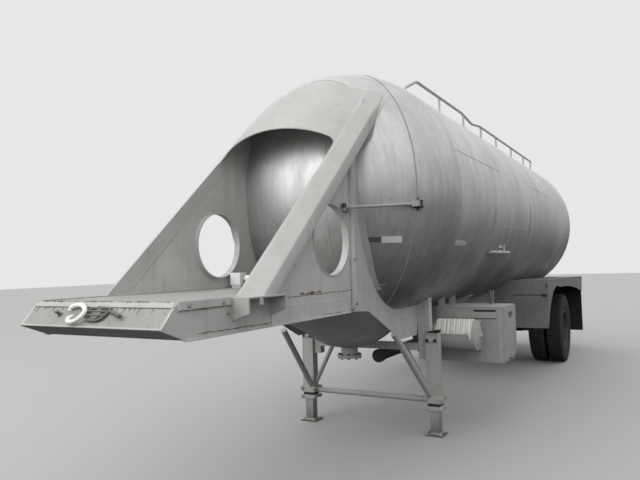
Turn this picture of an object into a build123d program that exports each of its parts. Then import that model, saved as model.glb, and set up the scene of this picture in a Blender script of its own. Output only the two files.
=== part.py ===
"""Silo semi-trailer: a level pressure tank that carries itself, on a plated gooseneck in front
and one axle with twin wheels behind.

Millimetres. X forward, Y to the left, Z up. The origin is on the ground under the middle of the
trailer, which stands level as it is parked, on its landing legs and its wheels.
"""
import os
from math import atan2, cos, hypot, pi, radians, sin, sqrt, tan

from build123d import *

os.makedirs("parts", exist_ok=True)

# Overall sizes
front_x = 5050.0            # lower front edge of the gooseneck
rear_x = -5050.0            # rear face of the bumper
half_width = 1250.0         # outer face of the mudguards
sheet = 10.0                # thickness of the welded sheets
plate = 12.0                # thickness of the two side plates of the gooseneck
running_gap = 0.3           # radial clearance of parts that turn or are pressed in place

# Tank
tank_radius = 1153.0
tank_bottom_z = 1079.0
tank_axis_z = tank_bottom_z + tank_radius
tank_top_z = tank_axis_z + tank_radius
barrel_front_x = 2150.0
barrel_rear_x = -4456.0
front_head_depth = 887.0
front_knuckle = 750.0       # radius of the turned edge of the front head
rear_head_depth = 480.0
rear_knuckle = 330.0

# Hoppers under the tank
front_hopper_x = 2087.0
front_bowl_radius = 393.0   # rim of the dished bottom
front_bowl_z = 984.0
front_bowl_depth = 145.0
front_hopper_rise = 0.55    # climb of the cone for each unit outwards
front_hopper_top_z = 1241.0
rear_hopper_rim = 800.0
rear_hopper_rim_z = 1420.0
outlet_radius = 78.0
outlet_flange_radius = 112.0
outlet_flange_z = 762.0
flange_thickness = 16.0

# Gooseneck
neck_half = 540.0           # outer faces of the side plates
neck_inner = neck_half - plate
deck_z = 1456.0
deck_front_x = 4932.0
nose_bottom_z = 1329.0
ramp_rear_x = 4883.0
neck_bottom_z = 1263.5
neck_straight_x = 3118.0    # where the lower edge begins to fall
coupling_rear_x = 3600.0
doubler_rear_x = 3180.0     # thicker strip along the lower edge of each side plate
doubler_front_x = 4140.0
doubler_height = 104.5
slope_angle = 41.45         # slope of the hood over the gooseneck, in degrees
slope_foot_x = 4456.5       # where the slope meets the deck
slope_length = 2290.0       # from the deck up to where the pillars run out on the dome
hood_foot = 1630.0          # up the slope, where the arch springs
arch_rise = 353.0
hood_top = 2600.0           # up the slope, top of the hood where it lies on the dome
hood_shoulder = 2400.0
hood_lap_half = 430.0       # half the width of the part that lies on the dome
hood_lap = 8.0
side_hole_x = 3350.0
side_hole_z = 1802.0
side_hole_radius = 255.0
collar_depth = 48.0
collar_wall = 10.0

# Kingpin
kingpin_x = 4300.0
kingpin_radius = 25.4
kingpin_shoulder = 36.5
kingpin_head = 35.7
kingpin_step = 35.0         # height of the shoulder, and of the neck below it
kingpin_length = 84.0
kingpin_gap = 1.0           # between the shoulder and the hole in the coupling plate
kingpin_flange = 80.0
kingpin_flange_thickness = 16.0

# Landing gear
leg_x = 1680.0
leg_y = 681.0
leg_width = 122.0           # across the trailer
leg_depth = 94.0            # along it
leg_collar = 13.0
sleeve_height = 70.0
leg_top_z = 950.0
leg_bottom_z = 300.0
foot_tube = 86.0
foot_pad = 170.0
foot_pad_thickness = 16.0

# Axle and wheels
axle_x = -3040.0
tyre_radius = 526.0
tyre_width = 240.0
outer_tyre_y = 1096.0
inner_tyre_y = 834.0
bead_radius = 258.0
bead_height = 24.0
rim_flange_radius = 274.0
disc_y = 965.0              # plane where the two wheel discs are bolted together
disc_thickness = 12.0
hub_radius = 112.0
hub_inner_y = 812.0
hub_cap_y = 1092.0
spindle_radius = 45.0
axle_radius = 63.5
drum_radius = 205.0
hand_hole_radius = 27.0
hand_holes = 8

# Springs and rear frame
rail_outer_y = 540.0
rail_width = 80.0
rail_bottom_z = 862.0
rail_front_x = -1180.0
rail_rear_x = -4900.0
rail_web = 8.0
spring_leaf = 18.0
spring_width = 70.0
spring_radius = 2000.0
spring_halves = (560.0, 440.0, 320.0, 200.0)
spring_seat = 20.0
eye_radius = 30.0
eye_pin = 15.0

# Mudguards
guard_front_x = -1300.0
guard_rear_x = -4980.0
guard_front_z = 1340.0
guard_rear_z = 1280.0
flap_thickness = 8.0
flap_bottom_z = 290.0

# Tool box and air reservoir
box_front_x = 1190.0
box_rear_x = 690.0
box_inner_y = 552.0
box_outer_y = 1219.0
box_bottom_z = 620.0
box_top_z = 1160.0
box_wall = 4.0
box_corner = 90.0
door_gap = 3.0
reservoir_x = 1422.0
reservoir_z = 907.0
reservoir_radius = 143.0
reservoir_inner_y = 640.0
reservoir_outer_y = 1036.0
reservoir_dish = 30.0

# Top of the tank
rail_y = 500.0
rail_tube = 17.0
rail_height = 94.0          # top of the guard rails over the crown of the tank
walkway_half = 290.0
walkway_height = 27.0
walkway_thickness = 24.0
manhole_xs = (980.0, -1300.0, -3550.0)
manhole_radius = 225.0
manhole_wall = 10.0
manhole_height = 97.0
lid_rise = 34.0
lid_overhang = 8.0

rail_top_z = tank_top_z + rail_height
walkway_z = tank_top_z + walkway_height
manhole_top_z = tank_top_z + manhole_height


def box(x0, x1, y0, y1, z0, z1):
    """Block between two corners."""
    return Pos((x0 + x1) / 2, (y0 + y1) / 2, (z0 + z1) / 2) * Box(x1 - x0, y1 - y0, z1 - z0)


def plate_xz(points, y0, y1):
    """Plate cut to an x-z outline, from y0 to y1."""
    plane = Plane(origin=(0, y0, 0), x_dir=(1, 0, 0), z_dir=(0, -1, 0))
    return extrude(plane * make_face(Polyline(*points, close=True)), amount=y1 - y0, dir=(0, 1, 0))


def plate_yz(points, x0, x1):
    """Plate cut to a y-z outline, from x0 to x1."""
    plane = Plane(origin=(x0, 0, 0), x_dir=(0, 1, 0), z_dir=(1, 0, 0))
    return extrude(plane * make_face(Polyline(*points, close=True)), amount=x1 - x0, dir=(1, 0, 0))


def rod(a, b, radius):
    """Round bar from point a to point b."""
    way = Vector(*b) - Vector(*a)
    plane = Plane(origin=a, z_dir=way.normalized())
    return plane * Cylinder(radius, way.length, align=(Align.CENTER, Align.CENTER, Align.MIN))


def bent_bar(points, radius):
    """Round bar through the points, with a ball at each bend."""
    bar = rod(points[0], points[1], radius)
    for a, b in zip(points[1:], points[2:]):
        bar += Pos(*a) * Sphere(radius)
        bar += rod(a, b, radius)
    return bar


def drum_y(x, z, y0, y1, radius):
    """Cylinder along Y."""
    return rod((x, y0, z), (x, y1, z), radius)


def turned_y(profile, x, z):
    """Body turned about an axis along Y from (y, radius) points."""
    face = make_face(Polyline(*profile, close=True))
    plane = Plane(origin=(x, 0, z), x_dir=(0, 1, 0), z_dir=(1, 0, 0))
    return revolve(plane * face, Axis((x, 0, z), (0, 1, 0)))


def turned_z(profile, x, y):
    """Body turned about a vertical axis from (radius, z) points."""
    face = make_face(Polyline(*profile, close=True))
    plane = Plane(origin=(x, y, 0), x_dir=(1, 0, 0), z_dir=(0, -1, 0))
    return revolve(plane * face, Axis((x, y, 0), (0, 0, 1)))


def both_sides(solid):
    """A solid of the left side together with its mirror image."""
    return Compound(children=[*solid.solids(), *mirror(solid, Plane.XZ).solids()])


def joined(*solids):
    """Separate solids of one node."""
    return Compound(children=[one for group in solids for one in group.solids()])


def dished_head(depth, knuckle, radius):
    """Torispherical head on the plane x = 0: a knuckle arc tangent to the barrel and to a crown arc."""
    crown = (depth**2 + radius**2 - 2 * radius * knuckle) / (2 * (depth - knuckle))
    edge = (0.0, radius - knuckle)
    middle = (depth - crown, 0.0)
    turn = atan2(edge[1] - middle[1], edge[0] - middle[0])
    bend = (pi / 2 + turn) / 2
    rim = (0.0, radius)
    meet = (edge[0] + knuckle * cos(turn), edge[1] + knuckle * sin(turn))
    on_knuckle = (edge[0] + knuckle * cos(bend), edge[1] + knuckle * sin(bend))
    on_crown = (middle[0] + crown * cos(turn / 2), crown * sin(turn / 2))
    outline = Line((0, 0), rim) + ThreePointArc(rim, on_knuckle, meet)
    outline += ThreePointArc(meet, on_crown, (depth, 0)) + Line((depth, 0), (0, 0))
    return revolve(Plane.XZ * make_face(outline), Axis.X)


def tank_over_z(y):
    """Height of the top of the barrel at a distance from its middle plane."""
    return tank_axis_z + sqrt(tank_radius**2 - y**2)


tank_foot = 85.0            # how far pieces on the crown are let down before they are cut to the tank


# Tank: barrel and two dished heads, closed
barrel_length = barrel_front_x - barrel_rear_x
tank_barrel = Pos(barrel_rear_x, 0, tank_axis_z) * Rot(0, 90, 0) * Cylinder(
    tank_radius, barrel_length, align=(Align.CENTER, Align.CENTER, Align.MIN))
tank_head_front = Pos(barrel_front_x, 0, tank_axis_z) * dished_head(front_head_depth, front_knuckle, tank_radius)
tank_head_rear = Pos(barrel_rear_x, 0, tank_axis_z) * Rot(0, 0, 180) * dished_head(
    rear_head_depth, rear_knuckle, tank_radius)
tank = tank_barrel + tank_head_front + tank_head_rear

# Front hopper: a shallow cone between the side plates with a dished bottom and a blind outlet
cone_reach = front_bowl_radius + (front_hopper_top_z - front_bowl_z) / front_hopper_rise
bowl_radius = (front_bowl_radius**2 + front_bowl_depth**2) / (2 * front_bowl_depth)
bowl_low_z = front_bowl_z - front_bowl_depth


def bowl_z(r):
    """Height of the dished bottom at a distance from its middle: a circle through its rim and its lowest point."""
    return bowl_low_z + bowl_radius - sqrt(bowl_radius**2 - r**2)


flange_top_z = outlet_flange_z + flange_thickness
hopper_corners = [
    (front_bowl_radius, front_bowl_z), (cone_reach, front_hopper_top_z), (0, front_hopper_top_z),
    (0, outlet_flange_z - flange_thickness),
    (outlet_flange_radius, outlet_flange_z - flange_thickness), (outlet_flange_radius, flange_top_z),
    (outlet_radius, flange_top_z), (outlet_radius, bowl_z(outlet_radius))]
bowl_middle = (outlet_radius + front_bowl_radius) / 2
hopper_outline = Polyline(*hopper_corners) + ThreePointArc(
    hopper_corners[-1], (bowl_middle, bowl_z(bowl_middle)), hopper_corners[0])
hopper_plane = Plane(origin=(front_hopper_x, 0, 0), x_dir=(1, 0, 0), z_dir=(0, -1, 0))
hopper_front = revolve(hopper_plane * make_face(hopper_outline), Axis((front_hopper_x, 0, 0), (0, 0, 1)))
hopper_front &= box(0, front_x, -neck_inner + 3, neck_inner - 3, 0, deck_z)
hopper_front = hopper_front - tank_barrel - tank_head_front

# Rear hoppers: steep cones, each with a flanged outlet on the discharge pipe
hopper_table = ((-200.0,), (-2000.0,))      # place along the trailer
hoppers_rear_list = []
for (hopper_x,) in hopper_table:
    cone = turned_z([
        (0, outlet_flange_z), (outlet_flange_radius, outlet_flange_z),
        (outlet_flange_radius, outlet_flange_z + flange_thickness),
        (outlet_radius, outlet_flange_z + flange_thickness), (outlet_radius + 6, outlet_flange_z + 70),
        (rear_hopper_rim, rear_hopper_rim_z), (0, rear_hopper_rim_z)], hopper_x, 0)
    cone &= box(barrel_rear_x, barrel_front_x, -neck_inner + 10, neck_inner - 10, 0, tank_axis_z)
    hoppers_rear_list.append(cone - tank_barrel)
hoppers_rear = joined(*hoppers_rear_list)

# Discharge pipe under the rear hoppers, open at the coupling behind, capped in front
pipe_radius = 55.0
pipe_bore = 50.0
pipe_z = 667.0
pipe_front_x = 1450.0
pipe_rear_x = -4700.0
pipe_cap = 68.0
discharge_pipe = rod((pipe_rear_x, 0, pipe_z), (pipe_front_x, 0, pipe_z), pipe_radius)
for (hopper_x,) in hopper_table:
    discharge_pipe += rod((hopper_x, 0, pipe_z), (hopper_x, 0, outlet_flange_z), outlet_radius)
    discharge_pipe += Pos(hopper_x, 0, outlet_flange_z - flange_thickness / 2) * Cylinder(
        outlet_flange_radius, flange_thickness)
discharge_pipe += rod((pipe_front_x - 60, 0, pipe_z), (pipe_front_x, 0, pipe_z), pipe_cap)
discharge_pipe += rod((pipe_rear_x, 0, pipe_z), (pipe_rear_x + 70, 0, pipe_z), pipe_cap)
discharge_pipe -= rod((pipe_rear_x - 1, 0, pipe_z), (pipe_rear_x + 160, 0, pipe_z), pipe_bore)

# Slope of the hood: a plane through the deck's edge, x up the slope
slope = radians(slope_angle)
slope_plane = Plane(origin=(slope_foot_x, 0, deck_z), x_dir=(-cos(slope), 0, sin(slope)),
                    z_dir=(sin(slope), 0, cos(slope)))


def on_slope(s, depth=0.0):
    """Point (x, z) at a distance s up the slope and a depth behind it."""
    return (slope_foot_x - s * cos(slope) - depth * sin(slope), deck_z + s * sin(slope) - depth * cos(slope))


# Hood: sheet over the top of the gooseneck, cut to an arch in front; above, it lies on the dome
hood_outline = Pos((hood_foot + slope_length) / 2, 0) * Rectangle(slope_length - hood_foot, 2 * neck_inner)
hood_outline -= Pos(hood_foot, 0) * Ellipse(arch_rise, neck_inner - 6)
hood_plate = extrude(slope_plane * hood_outline, amount=-sheet)
arch_top = hood_foot + arch_rise + sheet
lap_outline = Polyline((hood_shoulder, hood_lap_half), (arch_top, hood_lap_half), (arch_top, -hood_lap_half),
                       (hood_shoulder, -hood_lap_half))
lap_outline += ThreePointArc((hood_shoulder, -hood_lap_half), (hood_top, 0), (hood_shoulder, hood_lap_half))
lap_plane = slope_plane.offset(-sheet)
hood_cap = Pos(barrel_front_x, 0, tank_axis_z) * dished_head(
    front_head_depth + hood_lap, front_knuckle + hood_lap, tank_radius + hood_lap)
hood_cap &= extrude(lap_plane * make_face(lap_outline), amount=front_head_depth / 2)
hood_plate = hood_plate + hood_cap - tank

# Side plates: flanged lower edge, round hole with a turned collar
top_of_slope = on_slope(slope_length)
keel = ((2779.0, 1241.0), (2137.0, 940.0), (1723.0, 933.0), (1680.0, 1235.0), (1680.0, 1600.0))
side_outline = [
    (deck_front_x, deck_z), (front_x, nose_bottom_z), (ramp_rear_x, neck_bottom_z),
    (neck_straight_x, neck_bottom_z), *keel, (barrel_front_x + 50, top_of_slope[1]), top_of_slope,
    (slope_foot_x, deck_z)]
side_plate_left = plate_xz(side_outline, neck_inner, neck_half)
side_plate_left += drum_y(side_hole_x, side_hole_z, neck_half - collar_depth, neck_half + 4,
                          side_hole_radius + collar_wall)
side_plate_left -= drum_y(side_hole_x, side_hole_z, neck_half - collar_depth - 5, neck_half + 9,
                          side_hole_radius)
side_plate_left += box(neck_straight_x, ramp_rear_x, neck_inner, neck_half + 20, neck_bottom_z - 6, neck_bottom_z)
side_plate_left += box(doubler_rear_x, doubler_front_x, neck_half, neck_half + 6, neck_bottom_z,
                       neck_bottom_z + doubler_height)
side_plate_left -= tank
side_plate_right = mirror(side_plate_left, Plane.XZ)

# Deck, nose and coupling plate between the side plates
face_run = hypot(front_x - deck_front_x, deck_z - nose_bottom_z)
face_dx = (front_x - deck_front_x) / face_run
face_dz = (nose_bottom_z - deck_z) / face_run
ramp_run = hypot(front_x - ramp_rear_x, nose_bottom_z - neck_bottom_z)
ramp_dx = (ramp_rear_x - front_x) / ramp_run
ramp_dz = (neck_bottom_z - nose_bottom_z) / ramp_run
deck_end_x = deck_front_x - sheet / -face_dz
bend_angle = (atan2(ramp_dz, ramp_dx) - atan2(face_dz, face_dx)) % (2 * pi)
if bend_angle > pi:
    bend_angle = 2 * pi - bend_angle
inner_back = sheet * tan(bend_angle / 2)
face_inward = (face_dz, -face_dx)
inner_corner = (front_x + sheet * face_inward[0] - inner_back * face_dx,
                nose_bottom_z + sheet * face_inward[1] - inner_back * face_dz)
nose_plate = plate_xz([
    (deck_end_x, deck_z), (deck_front_x, deck_z), (front_x, nose_bottom_z), (ramp_rear_x, neck_bottom_z),
    (ramp_rear_x, neck_bottom_z + sheet / -ramp_dx), inner_corner], -neck_inner, neck_inner)
deck_plate = plate_xz([
    (barrel_front_x, deck_z), (deck_end_x, deck_z),
    (deck_end_x + sheet * face_dx / -face_dz, deck_z - sheet), (barrel_front_x, deck_z - sheet)],
    -neck_inner, neck_inner) - tank
coupling_plate = box(coupling_rear_x, ramp_rear_x, -neck_inner, neck_inner, neck_bottom_z, neck_bottom_z + sheet)
coupling_plate -= rod((kingpin_x, 0, neck_bottom_z - 1), (kingpin_x, 0, neck_bottom_z + sheet + 1),
                      kingpin_shoulder + kingpin_gap)

# Kingpin: flange on the coupling plate, shoulder, neck and head, turned
pin_top_z = neck_bottom_z
flange_seat_z = neck_bottom_z + sheet
kingpin = turned_z([
    (0, flange_seat_z + kingpin_flange_thickness), (kingpin_flange, flange_seat_z + kingpin_flange_thickness),
    (kingpin_flange, flange_seat_z), (kingpin_shoulder, flange_seat_z), (kingpin_shoulder, pin_top_z - kingpin_step),
    (kingpin_radius, pin_top_z - kingpin_step), (kingpin_radius, pin_top_z - 2 * kingpin_step),
    (kingpin_head, pin_top_z - 2 * kingpin_step), (kingpin_head, pin_top_z - kingpin_length + 4),
    (kingpin_head - 4, pin_top_z - kingpin_length), (0, pin_top_z - kingpin_length)], kingpin_x, 0)

# Cross members of the gooseneck: channels between the side plates, under the deck
member_bottom_z = neck_bottom_z + sheet
member_top_z = deck_z - sheet
cross_list = []
for (member_x,) in ((3640.0,), (4120.0,), (4440.0,), (4800.0,)):
    web = box(member_x, member_x + 8, -neck_inner, neck_inner, member_bottom_z, member_top_z)
    web += box(member_x, member_x + 60, -neck_inner, neck_inner, member_bottom_z, member_bottom_z + 8)
    web += box(member_x, member_x + 60, -neck_inner, neck_inner, member_top_z - 8, member_top_z)
    cross_list.append(web)
cross_members = joined(*cross_list)

# Pillars: bent plates along the slope, outside the side plates, from the deck up to the dome
pillar_section = [(0, neck_half), (66, neck_half + 110), (146, neck_half + 110), (117, neck_half)]
pillar_plane = Plane(origin=(on_slope(slope_length)[0], 0, on_slope(slope_length)[1]),
                     x_dir=(-sin(slope), 0, -cos(slope)), z_dir=(cos(slope), 0, -sin(slope)))
pillar = extrude(pillar_plane * make_face(Polyline(*pillar_section, close=True)), amount=slope_length + 300,
                 dir=(cos(slope), 0, -sin(slope)))
pillar -= box(slope_foot_x - 900, slope_foot_x + 900, 0, half_width, deck_z - 900, deck_z)
pillar -= tank
pillars = both_sides(pillar)

# Foot brackets of the pillars: top plate, gussets and a small lug
bracket_rear_x = 4144.0
bracket_front_x = 4517.0
foot = box(bracket_rear_x, bracket_front_x, neck_half, neck_half + 120, deck_z - sheet, deck_z)
for (gusset_x,) in ((bracket_rear_x,), (bracket_front_x - plate,)):
    foot += plate_yz([(neck_half, deck_z - sheet), (neck_half + 120, deck_z - sheet), (neck_half + 120, 1367),
                      (neck_half, 1325)], gusset_x, gusset_x + plate)
foot += box(4440, 4500, neck_half + 112, neck_half + 120, deck_z - 64, deck_z - sheet)
foot_brackets = both_sides(foot)

# Angle strips along the edge of the deck
edge_angles = both_sides(box(bracket_front_x + 3, deck_front_x, neck_half, neck_half + 8, 1413, deck_z))

# Half-round conduits down the outside of the side plates
conduit_x = 3035.0
conduit_radius = 29.0
conduit = Pos(conduit_x, neck_half, 1290) * Cylinder(
    conduit_radius, 1400, align=(Align.CENTER, Align.CENTER, Align.MIN))
conduit = (conduit & box(2900, 3200, neck_half, neck_half + 60, 1200, 2900)) - pillar
conduit = conduit.solids().sort_by(Axis.Z)[0]
conduits = both_sides(conduit)

# Couplings on the nose: a round socket between two hose unions
nose_normal = Vector(-face_dz, 0, face_dx)
fitting_mid = Vector(deck_front_x + 0.36 * (front_x - deck_front_x), 0, deck_z - 0.36 * (deck_z - nose_bottom_z))
fitting_table = (           # across, radius, how far out, radius of the foot
    (-278.0, 17.0, 40.0, 28.0),
    (14.0, 44.0, 46.0, 56.0),
    (122.0, 20.0, 48.0, 30.0),
)
fitting_list = []
for across, radius, out, foot_radius in fitting_table:
    start = fitting_mid + Vector(0, across, 0)
    socket = rod(tuple(start), tuple(start + nose_normal * out), radius)
    socket += rod(tuple(start), tuple(start + nose_normal * 8), foot_radius)
    fitting_list.append(socket)
nose_fittings = joined(*fitting_list)

# Work lamp on the deck
lamp_x = 3190.0
lamp_y = -438.0
deck_lamp = box(lamp_x - 45, lamp_x + 45, lamp_y - 50, lamp_y + 50, deck_z + 22, deck_z + 122)
deck_lamp += box(lamp_x - 32, lamp_x + 32, lamp_y - 44, lamp_y + 44, deck_z, deck_z + 22)

# Landing gear: square housings, sliding feet, braces, hangers
leg_half = leg_width / 2
leg_deep = leg_depth / 2
foot_half = foot_tube / 2


def leg_block(half_x, half_y, z0, z1):
    """Block round the middle of the left leg."""
    return box(leg_x - half_x, leg_x + half_x, leg_y - half_y, leg_y + half_y, z0, z1)


housing = leg_block(leg_deep, leg_half, leg_bottom_z, leg_top_z)
housing += leg_block(leg_deep + leg_collar, leg_half + leg_collar, leg_bottom_z, leg_bottom_z + 58)
housing += leg_block(foot_half + leg_collar, foot_half + leg_collar, leg_bottom_z - sleeve_height, leg_bottom_z)
housing -= leg_block(foot_half + running_gap, foot_half + running_gap, leg_bottom_z - sleeve_height - 1,
                     leg_top_z - 20)
leg_housings = both_sides(housing)
foot_leg = leg_block(foot_half, foot_half, foot_pad_thickness, leg_top_z - 21)
foot_leg += leg_block(foot_pad / 2, foot_pad / 2, 0, foot_pad_thickness)
leg_feet = both_sides(foot_leg)

tie_z = leg_bottom_z + 24
tie_bar = rod((leg_x, -leg_y, tie_z), (leg_x, leg_y, tie_z), 27) - both_sides(housing)
tie_bar = tie_bar.solids().sort_by(SortBy.VOLUME)[-1]
front_brace = rod((2345, neck_half + 28, 1012), (leg_x, leg_y - 30, tie_z), 28) - housing
front_brace = front_brace.solids().sort_by(Axis.Z)[-1]

beam_bottom_z = 782.0
beam_top_z = 850.0
leg_beam = box(leg_x - 45, leg_x + 25, -neck_half, neck_half, beam_bottom_z, beam_top_z)
side_brace = rod((leg_x, 396, beam_bottom_z + 30), (leg_x, leg_y - 30, tie_z + 10), 22) - housing - tie_bar
side_brace = (side_brace.solids().sort_by(SortBy.VOLUME)[-1] - leg_beam - front_brace).solids()
side_brace = side_brace.sort_by(SortBy.VOLUME)[-1]
leg_braces = joined(tie_bar, both_sides(front_brace), both_sides(side_brace))

post = box(leg_x - 65, leg_x + 20, neck_half + 1, leg_y - leg_half, 706, 1400)
post += box(leg_x - 65, leg_x + 20, neck_half + 1, neck_half + 115, leg_top_z, 1400)
post -= tank
leg_hangers = joined(both_sides(post), leg_beam)

# Tool box: folded sheet, cut lower corner, door on the outer side
box_outline = [(box_front_x, box_bottom_z), (box_front_x, box_top_z), (box_rear_x, box_top_z),
               (box_rear_x, box_bottom_z + box_corner), (box_rear_x + box_corner, box_bottom_z)]
box_inside = [(box_front_x - box_wall, box_bottom_z + box_wall), (box_front_x - box_wall, box_top_z - box_wall),
              (box_rear_x + box_wall, box_top_z - box_wall),
              (box_rear_x + box_wall, box_bottom_z + box_corner + 2),
              (box_rear_x + box_corner + 2, box_bottom_z + box_wall)]
toolbox = plate_xz(box_outline, box_inner_y, box_outer_y)
toolbox -= plate_xz(box_inside, box_inner_y + box_wall, box_outer_y + 10)

door_outer_y = box_outer_y + door_gap + 14
hinge_z = box_bottom_z + 14.0
hinge_y = box_outer_y + door_gap + 7
toolbox_door = plate_xz([
    (box_front_x - 2, box_bottom_z + 30), (box_front_x - 2, box_top_z - 2), (box_rear_x + 2, box_top_z - 2),
    (box_rear_x + 2, box_bottom_z + box_corner), (box_rear_x + box_corner - 30, box_bottom_z + 30)],
    box_outer_y + door_gap, door_outer_y)
for (knuckle_x,) in ((1080.0,), (860.0,)):
    toolbox_door += rod((knuckle_x - 30, hinge_y, hinge_z), (knuckle_x + 30, hinge_y, hinge_z), 7)
    toolbox_door += box(knuckle_x - 30, knuckle_x + 30, hinge_y - 3, hinge_y + 3, hinge_z, box_bottom_z + 32)
    toolbox_door -= rod((knuckle_x - 31, hinge_y, hinge_z), (knuckle_x + 31, hinge_y, hinge_z), 4)
    toolbox += rod((knuckle_x - 45, hinge_y, hinge_z), (knuckle_x + 45, hinge_y, hinge_z), 3.9)
    for side in (-1, 1):
        cheek_x = knuckle_x + side * 38.5
        toolbox += box(cheek_x - 6.5, cheek_x + 6.5, box_outer_y - 3, hinge_y + 5, box_bottom_z, hinge_z + 8)

# Brackets that hang the tool box and the reservoir
box_bracket_list = []
for (bracket_x,) in ((760.0,), (1120.0,)):
    hanger = box(bracket_x, bracket_x + 10, box_inner_y + 5, box_inner_y + 70, box_top_z, tank_axis_z)
    box_bracket_list.append((hanger - tank).solids().sort_by(Axis.Z)[0])
box_hangers = joined(*box_bracket_list)

# Air reservoir across the trailer, dished ends, with a quilted cover on its upper half
reservoir = turned_y([
    (reservoir_inner_y - reservoir_dish, 0), (reservoir_inner_y - reservoir_dish * 0.6, reservoir_radius * 0.6),
    (reservoir_inner_y, reservoir_radius), (reservoir_outer_y, reservoir_radius),
    (reservoir_outer_y + reservoir_dish * 0.6, reservoir_radius * 0.6), (reservoir_outer_y + reservoir_dish, 0)],
    reservoir_x, reservoir_z)
for (saddle_y,) in ((700.0,), (960.0,)):
    saddle = box(box_front_x, reservoir_x, saddle_y, saddle_y + 30, reservoir_z - 80, reservoir_z + 20)
    reservoir += saddle
cover_thickness = 8.0
cover_drop = 26.0           # how far above the middle of the reservoir the cover ends
cover_inner_y = reservoir_inner_y + 20
cover_outer_y = reservoir_outer_y - 34
reservoir_cover = drum_y(reservoir_x, reservoir_z, cover_inner_y, cover_outer_y,
                         reservoir_radius + running_gap + cover_thickness)
reservoir_cover -= drum_y(reservoir_x, reservoir_z, cover_inner_y - 10, cover_outer_y + 10,
                          reservoir_radius + running_gap)
reservoir_cover &= box(reservoir_x - 300, reservoir_x + 300, cover_inner_y - 50, cover_outer_y + 50,
                       reservoir_z + cover_drop, reservoir_z + 300)

# Tie rod from the side plate to the dome, left side
tie_plate = (3170.0, neck_half + 14, 2045.0)
tie_dome = (2672.0, 942.0, 2082.0)
tie_rod = rod((tie_plate[0], tie_plate[1] + 12, tie_plate[2]), tie_dome, 13)
tie_rod += box(3085, 3195, neck_half, neck_half + 28, 2022, 2068)
tie_rod += Pos(*tie_dome) * Box(90, 60, 46)
tie_rod -= tank

# Vent pipe and lugs on the left flank of the barrel
flank_y = sqrt(tank_radius**2 - (tank_axis_z - 1705.0) ** 2)
vent_pipe = rod((90, flank_y + 34, 1705), (920, flank_y + 34, 1705), 16)
for (stand_x,) in ((160.0,), (850.0,)):
    vent_pipe += rod((stand_x, flank_y - 60, 1705), (stand_x, flank_y + 34, 1705), 12)
vent_pipe += rod((330, flank_y + 34, 1705), (330, flank_y + 34, 1800), 14)
vent_pipe -= tank_barrel

# Rear frame: two lipped rails cut to the barrel, cross members
rail = box(rail_rear_x, rail_front_x, rail_outer_y - rail_web, rail_outer_y, rail_bottom_z, 1400)
rail += box(rail_rear_x, rail_front_x, rail_outer_y - rail_width, rail_outer_y, rail_bottom_z, rail_bottom_z + 10)
rail -= tank
rear_rails = both_sides(rail)
member_half = rail_outer_y - rail_web
rear_member_list = []
for (member_x,) in ((-1230.0,), (-2420.0,), (-3650.0,), (-4880.0,)):
    member = box(member_x, member_x + 8, -member_half, member_half, rail_bottom_z + 10, 1400)
    member += box(member_x, member_x + 60, -member_half, member_half, rail_bottom_z + 10, rail_bottom_z + 18)
    member -= tank
    rear_member_list.append(member)
rear_members = joined(*rear_member_list)

# Axle: tube with brake back plates and turned spindles
axle_z = tyre_radius
axle_half = [
    (0, 0), (0, axle_radius), (700, axle_radius), (700, drum_radius - 16), (706, drum_radius - 16),
    (706, axle_radius), (796, axle_radius), (796, spindle_radius), (984, spindle_radius), (984, 0)]
axle_left = turned_y(axle_half, axle_x, axle_z)
axle = axle_left + mirror(axle_left, Plane.XZ)
spring_y = rail_outer_y - rail_width / 2
seat_top_z = axle_z + axle_radius + spring_seat
for side in (-1, 1):
    seat = box(axle_x - 60, axle_x + 60, side * spring_y - spring_width / 2, side * spring_y + spring_width / 2,
               axle_z, seat_top_z)
    axle += seat

# Leaf springs: leaves on one centre, each shorter than the one above
spring_pack = spring_leaf * len(spring_halves)
spring_centre_z = seat_top_z + spring_pack + spring_radius
spring = None
for number, half in enumerate(spring_halves):
    inner = spring_radius + number * spring_leaf
    leaf = drum_y(axle_x, spring_centre_z, spring_y - spring_width / 2, spring_y + spring_width / 2,
                  inner + spring_leaf)
    leaf -= drum_y(axle_x, spring_centre_z, spring_y - spring_width, spring_y + spring_width, inner)
    leaf &= box(axle_x - half, axle_x + half, 0, half_width, 0, spring_centre_z - spring_radius * 0.8)
    spring = leaf if spring is None else spring + leaf
eye_run = spring_halves[0] + eye_radius * 0.6
eye_z = spring_centre_z - sqrt(spring_radius**2 - eye_run**2) + eye_radius * 0.4
for side in (-1, 1):
    eye_x = axle_x + side * eye_run
    spring += drum_y(eye_x, eye_z, spring_y - spring_width / 2, spring_y + spring_width / 2, eye_radius)
    spring -= drum_y(eye_x, eye_z, spring_y - spring_width, spring_y + spring_width, eye_pin + running_gap)
springs = both_sides(spring)

# Spring hangers: two cheeks and a pin through each eye
hanger_list = []
for side in (-1, 1):
    eye_x = axle_x + side * eye_run
    cheek = 10.0
    inner_y = spring_y - spring_width / 2 - 3
    outer_y = spring_y + spring_width / 2 + 3
    outline = [(eye_x - 60, rail_bottom_z), (eye_x + 60, rail_bottom_z), (eye_x + 28, eye_z - 34),
               (eye_x - 28, eye_z - 34)]
    bracket = plate_xz(outline, inner_y - cheek, inner_y) + plate_xz(outline, outer_y, outer_y + cheek)
    bracket += drum_y(eye_x, eye_z, inner_y - cheek - 6, outer_y + cheek + 6, eye_pin)
    hanger_list.append(both_sides(bracket))
spring_hangers = joined(*hanger_list)

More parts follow.
